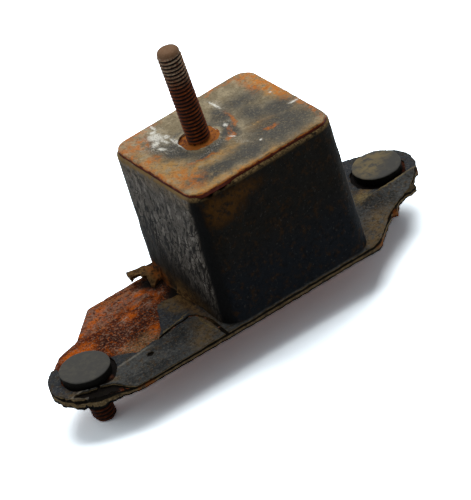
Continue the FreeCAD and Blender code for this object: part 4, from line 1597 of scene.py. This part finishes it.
@dataclass
class ThreadedShank:
    """Shank with a rolled thread, closed at either end by turned rings."""

    x: float
    y: float
    bottom: float
    top: float
    radius: float = 4.65
    depth: float = 0.9
    pitch: float = 1.5875
    sides: int = 48
    profile: tuple[tuple[float, float], ...] = (
        (0.0, 1.0), (0.14, 0.96), (0.34, 0.42), (0.48, 0.04), (0.62, 0.0), (0.78, 0.34),
        (0.93, 0.9), (1.0, 1.0))

    def thread(self) -> bmesh.types.BMesh:
        """Sweep one turn's profile up the shank.

        Returns:
            The thread about the Z axis, open at both ends.
        """
        mesh = bmesh.new()
        start = self.bottom - 2 * self.pitch
        turns = math.ceil((self.top - self.bottom) / self.pitch) + 3
        points = [mesh.verts.new((self.radius - self.depth * (1 - crest), 0,
                                  start + share * self.pitch)) for share, crest in self.profile]
        edges = [mesh.edges.new(pair) for pair in zip(points, points[1:])]
        bmesh.ops.spin(
            mesh, geom=points + edges, cent=(0, 0, 0), axis=UP,
            dvec=UP * (self.pitch / self.sides), angle=math.tau * turns,
            steps=self.sides * turns, use_merge=False, use_duplicate=False)
        bmesh.ops.remove_doubles(mesh, verts=mesh.verts[:], dist=MERGE)
        for place, outwards in ((self.bottom, False), (self.top, True)):
            bmesh.ops.bisect_plane(
                mesh, geom=mesh.verts[:] + mesh.edges[:] + mesh.faces[:], dist=1e-4,
                plane_co=(0, 0, place), plane_no=UP, clear_outer=outwards,
                clear_inner=not outwards)
        return mesh

    def close(
        self, mesh: bmesh.types.BMesh, at: float, rings: Sequence[tuple[float, float]]
    ) -> None:
        """Carry an open end on through turned rings and close it.

        Args:
            mesh: Mesh turned about the Z axis.
            at: Height of the open end.
            rings: Radius and height of each ring.
        """
        loop = [edge for edge in mesh.edges if edge.is_boundary
                and all(abs(vert.co.z - at) < 1e-3 for vert in edge.verts)]
        for radius, height in rings:
            drawn = bmesh.ops.extrude_edge_only(mesh, edges=loop)["geom"]
            for item in drawn:
                if isinstance(item, bmesh.types.BMVert):
                    item.co = level_part(item.co).normalized() * radius + UP * height
            loop = [item for item in drawn if isinstance(item, bmesh.types.BMEdge)]
        bmesh.ops.contextual_create(mesh, geom=loop)

    def place_mesh(self, mesh: bmesh.types.BMesh, lean: float = 0.0, heading: float = 0.0) -> None:
        """Mark the thread's crests, roughen it and set it at its place.

        Args:
            mesh: Mesh turned about the Z axis.
            lean: Lean in degrees, about the middle of the shank.
            heading: Direction in which the top leans, in degrees from X.
        """
        layer = mesh.verts.layers.float.new("crest")
        for vert in mesh.verts:
            out = level_part(vert.co).length
            threaded = self.bottom < vert.co.z < self.top + 0.2
            vert[layer] = ease(out, self.radius - self.depth, self.radius) if threaded else 1.0
        reshape(mesh, self.wear)
        hinge = UP * ((self.bottom + self.top) / 2)
        side = Matrix.Rotation(math.radians(heading + 90), 3, "Z") @ ALONG
        bmesh.ops.rotate(mesh, verts=mesh.verts[:], cent=hinge,
                         matrix=Matrix.Rotation(math.radians(lean), 3, side))
        bmesh.ops.translate(mesh, verts=mesh.verts[:], vec=(self.x, self.y, 0))

    def wear(self, place: Vector, normal: Vector) -> Vector:
        """Roughen the surface with rust."""
        return place + normal * (grain(place, 1.6, 3, self.x) * 0.06 - 0.03)


@dataclass
class TopStud:
    """Stud of the top plate, rusted in its crater and leaning a little."""

    shank: ThreadedShank = field(default_factory=lambda: ThreadedShank(
        x=1.8, y=4.2, bottom=61.4, top=100.4))
    tip: float = 103.2
    lean: float = 3.0
    heading: float = 156.0
    tip_rings: tuple[tuple[float, float], ...] = (
        (4.4, 2.0), (4.3, 1.4), (3.9, 0.7), (3.2, 0.25), (2.2, 0.05), (1.0, 0.0))
    scale_rings: tuple[tuple[float, float], ...] = (
        (4.9, 61.3), (5.4, 61.2), (6.2, 61.25), (7.0, 61.35), (7.8, 61.4), (8.4, 61.2))
    head_rings: tuple[tuple[float, float], ...] = (
        (8.8, 59.3), (9.8, 59.3), (9.8, 56.6), (5.0, 56.6), (1.0, 56.6))

    def dress(self) -> bpy.types.Object:
        """Build the stud and give it its finish.

        Returns:
            The stud.
        """
        mesh = self.shank.thread()
        self.shank.close(mesh, self.shank.top, [(4.35, self.shank.top + 0.15)] + [
            (radius, self.tip - below) for radius, below in self.tip_rings])
        self.shank.close(mesh, self.shank.bottom, self.scale_rings + self.head_rings)
        self.shank.place_mesh(mesh, self.lean, self.heading)
        finish = RustedThread("rusted_stud", bright_above=100.5, bloom_below=61.9)
        return hand_over(
            mesh, "top_stud_threaded", finish.make(), ["top_stud"], 60.0)


@dataclass
class BaseBolt:
    """Base bolt: rubber-coated flat head, pressed neck, rusted thread below."""

    plan: BasePlan
    name: str
    node: str
    side: int
    bent: tuple[float, float] = (0.0, 0.0)
    wave: float = 0.06
    length: float = 18.0
    tip_gap: float = 0.08
    neck: float = 5.0
    head_rings: tuple[tuple[float, float], ...] = (
        (9.2, 1.85), (9.7, 2.3), (9.8, 3.6), (9.85, 5.0), (9.9, 5.6), (9.95, 5.95),
        (9.75, 6.12), (9.3, 6.2), (8.3, 6.2), (7.0, 6.2), (5.5, 6.2), (3.8, 6.2), (2.0, 6.2))
    tip_rings: tuple[tuple[float, float], ...] = ((4.2, 1.2), (3.6, 0.3), (3.0, 0.0), (1.2, 0.0))

    def dress(self, finishes: Sequence[bpy.types.Material]) -> bpy.types.Object:
        """Build the bolt and give it its finishes.

        Args:
            finishes: Finish of the head and finish of the thread.

        Returns:
            The bolt.
        """
        gauge = self.plan.gauge
        hub = self.plan.hub(self.side)
        shank = ThreadedShank(x=hub.x, y=hub.y, bottom=1.6 - self.length, top=-0.4)
        mesh = shank.thread()
        shank.close(
            mesh, shank.top, ((self.neck, -0.1), (self.neck, gauge)) + self.head_rings)
        end = self.tip_gap - self.length
        shank.close(
            mesh, shank.bottom, [(radius, end + above) for radius, above in self.tip_rings])
        shank.place_mesh(mesh)
        reshape(mesh, self.wear)
        piece = hand_over(
            mesh, self.name, finishes[0], [self.node], 50.0)
        piece.data.materials.append(finishes[1])
        for polygon in piece.data.polygons:
            polygon.material_index = 0 if polygon.center.z > gauge * METRES else 1
        return piece

    def wear(self, place: Vector, normal: Vector) -> Vector:
        """Make the head's coat a little wavy and bend the shank.

        Args:
            place: Where a vertex is.
            normal: Its normal.

        Returns:
            Where it goes.
        """
        if place.z < self.plan.gauge:
            share = max(0.0, -place.z) / self.length
            return place + Vector((*self.bent, 0)) * share
        offset = level_part(place - self.plan.hub(self.side))
        swell = grain(place, 5.0, 3, 3.0) * self.wave
        moved = place + offset * (swell * 0.35)
        moved.z += swell * ease(place.z, 5, 6) - 0.03
        return moved


@dataclass(frozen=True)
class Lamp:
    """A square lamp: its name, its place, its size and its power in watts."""

    name: str
    place: tuple[float, float, float]
    size: float
    power: float


@dataclass
class Studio:
    """Plain floor, soft lamps and the camera of the photograph."""

    lamps: tuple[Lamp, ...] = (
        Lamp("key_lamp", (210, 250, 890), 900, 8.6), Lamp("side_lamp", (-900, 200, 700), 700, 1.7))
    lit_height: float = 30.0
    floor_height: float = -18.0
    floor_size: float = 6000.0
    floor_colour: tuple[float, float, float, float] = (0.8, 0.8, 0.8, 1.0)
    sky_colour: tuple[float, float, float, float] = (0.93, 0.96, 1.0, 1.0)
    camera_place: tuple[float, float, float] = (-460.87, -1058.57, 771.74)
    camera_turn: tuple[float, float, float] = (55.5228, 13.7338, -32.8923)
    lens: float = 259.2
    sensor: float = 36.0
    world_light: float = 0.15
    floor_gain: tuple[float, float, float, float] = (1.85, 2.1, 2.25, 1.0)

    def set_up(self) -> None:
        """Make the floor, the lamps, the world and the camera."""
        self.lay_floor()
        self.light_world()
        for lamp in self.lamps:
            self.hang_lamp(lamp)
        self.place_camera()
        bpy.context.scene.view_settings.view_transform = "Standard"

    def lay_floor(self) -> None:
        """Lay a pale floor that shows white but keeps the shadow."""
        mesh = bmesh.new()
        bmesh.ops.create_grid(mesh, x_segments=1, y_segments=1, size=self.floor_size / 2,
                              matrix=Matrix.Translation((0, 0, self.floor_height)))
        bmesh.ops.scale(mesh, verts=mesh.verts[:], vec=(METRES, METRES, METRES))
        data = bpy.data.meshes.new("floor")
        mesh.to_mesh(data)
        mesh.free()
        floor = bpy.data.objects.new("floor", data)
        bpy.context.scene.collection.objects.link(floor)
        material = bpy.data.materials.new("pale_floor")
        material.use_nodes = True
        nodes, links = material.node_tree.nodes, material.node_tree.links
        nodes.clear()
        plain = nodes.new("ShaderNodeBsdfDiffuse")
        plain.inputs["Color"].default_value = self.floor_colour
        glow = nodes.new("ShaderNodeBsdfDiffuse")
        glow.inputs["Color"].default_value = self.floor_gain
        lifted = nodes.new("ShaderNodeAddShader")
        links.new(plain.outputs[0], lifted.inputs[0])
        links.new(glow.outputs[0], lifted.inputs[1])
        output = nodes.new("ShaderNodeOutputMaterial")
        self.choose(nodes, links, (plain.outputs[0], lifted.outputs[0]), output)
        data.materials.append(material)

    def choose(
        self, nodes: bpy.types.Nodes, links: bpy.types.NodeLinks,
        shaders: tuple[Socket, Socket], output: bpy.types.Node
    ) -> None:
        """Wire up the shader that gives light and the one that is seen.

        Args:
            nodes: Nodes of the material or of the world.
            links: Its links.
            shaders: The one that gives light, then the one that is seen.
            output: Output node that takes the choice.
        """
        choice = nodes.new("ShaderNodeMixShader")
        links.new(self.seen_rays(nodes, links), choice.inputs["Fac"])
        links.new(shaders[0], choice.inputs[1])
        links.new(shaders[1], choice.inputs[2])
        links.new(choice.outputs[0], output.inputs["Surface"])

    def seen_rays(self, nodes: bpy.types.Nodes, links: bpy.types.NodeLinks) -> Socket:
        """Tell the rays that are seen from those that only light.

        Args:
            nodes: Nodes of the material or of the world.
            links: Its links.

        Returns:
            1 for rays of the camera and those seen in gloss or through glass.
        """
        path = nodes.new("ShaderNodeLightPath")
        seen = path.outputs["Is Camera Ray"]
        for name in ("Is Glossy Ray", "Is Transmission Ray"):
            either = nodes.new("ShaderNodeMath")
            either.operation = "MAXIMUM"
            links.new(seen, either.inputs[0])
            links.new(path.outputs[name], either.inputs[1])
            seen = either.outputs[0]
        return seen

    def light_world(self) -> None:
        """Light the scene softly from all round, with a white background."""
        world = bpy.data.worlds.new("studio")
        world.use_nodes = True
        bpy.context.scene.world = world
        nodes, links = world.node_tree.nodes, world.node_tree.links
        nodes.clear()
        soft = nodes.new("ShaderNodeBackground")
        soft.inputs["Color"].default_value = self.sky_colour
        soft.inputs["Strength"].default_value = self.world_light
        white = nodes.new("ShaderNodeBackground")
        white.inputs["Color"].default_value = (1, 1, 1, 1)
        white.inputs["Strength"].default_value = 1.0
        output = nodes.new("ShaderNodeOutputWorld")
        self.choose(nodes, links, (soft.outputs[0], white.outputs[0]), output)

    def hang_lamp(self, lamp: Lamp) -> None:
        """Hang a lamp that faces the block.

        Args:
            lamp: The lamp to hang.
        """
        data = bpy.data.lights.new(lamp.name, "AREA")
        data.size = lamp.size * METRES
        data.energy = lamp.power
        piece = bpy.data.objects.new(lamp.name, data)
        piece.location = Vector(lamp.place) * METRES
        aim = UP * (self.lit_height * METRES) - piece.location
        piece.rotation_euler = aim.to_track_quat("-Z", "Y").to_euler()
        bpy.context.scene.collection.objects.link(piece)

    def place_camera(self) -> None:
        """Put the camera where the photograph was taken from."""
        data = bpy.data.cameras.new("photo_camera")
        data.lens = self.lens
        data.sensor_width = self.sensor
        camera = bpy.data.objects.new("photo_camera", data)
        camera.location = Vector(self.camera_place) * METRES
        camera.rotation_euler = Euler([math.radians(angle) for angle in self.camera_turn])
        bpy.context.scene.collection.objects.link(camera)
        bpy.context.scene.camera = camera


def main() -> None:
    """Build the mount piece by piece, then the studio round it."""
    logging.basicConfig(level=logging.INFO, format="%(name)s: %(message)s")
    plan = BasePlan()
    finishes = DuskyHead().make(), RustedThread("rusted_base_thread", dark=0.5).make()
    pieces = [
        BaseSteel(plan).dress(),
        RubberMoulding(plan).dress(),
        TopSteel().dress(),
        TopStud().dress(),
        BaseBolt(plan, "left_base_bolt", "left_bolt", -1, bent=(1.5, -1.8)).dress(finishes),
        BaseBolt(plan, "right_base_bolt", "right_bolt", 1, wave=0.12).dress(finishes),
    ]
    for piece in pieces:
        log.info("%s: %d faces", piece.name, len(piece.data.polygons))
    Studio().set_up()


if __name__ == "__main__":
    main()
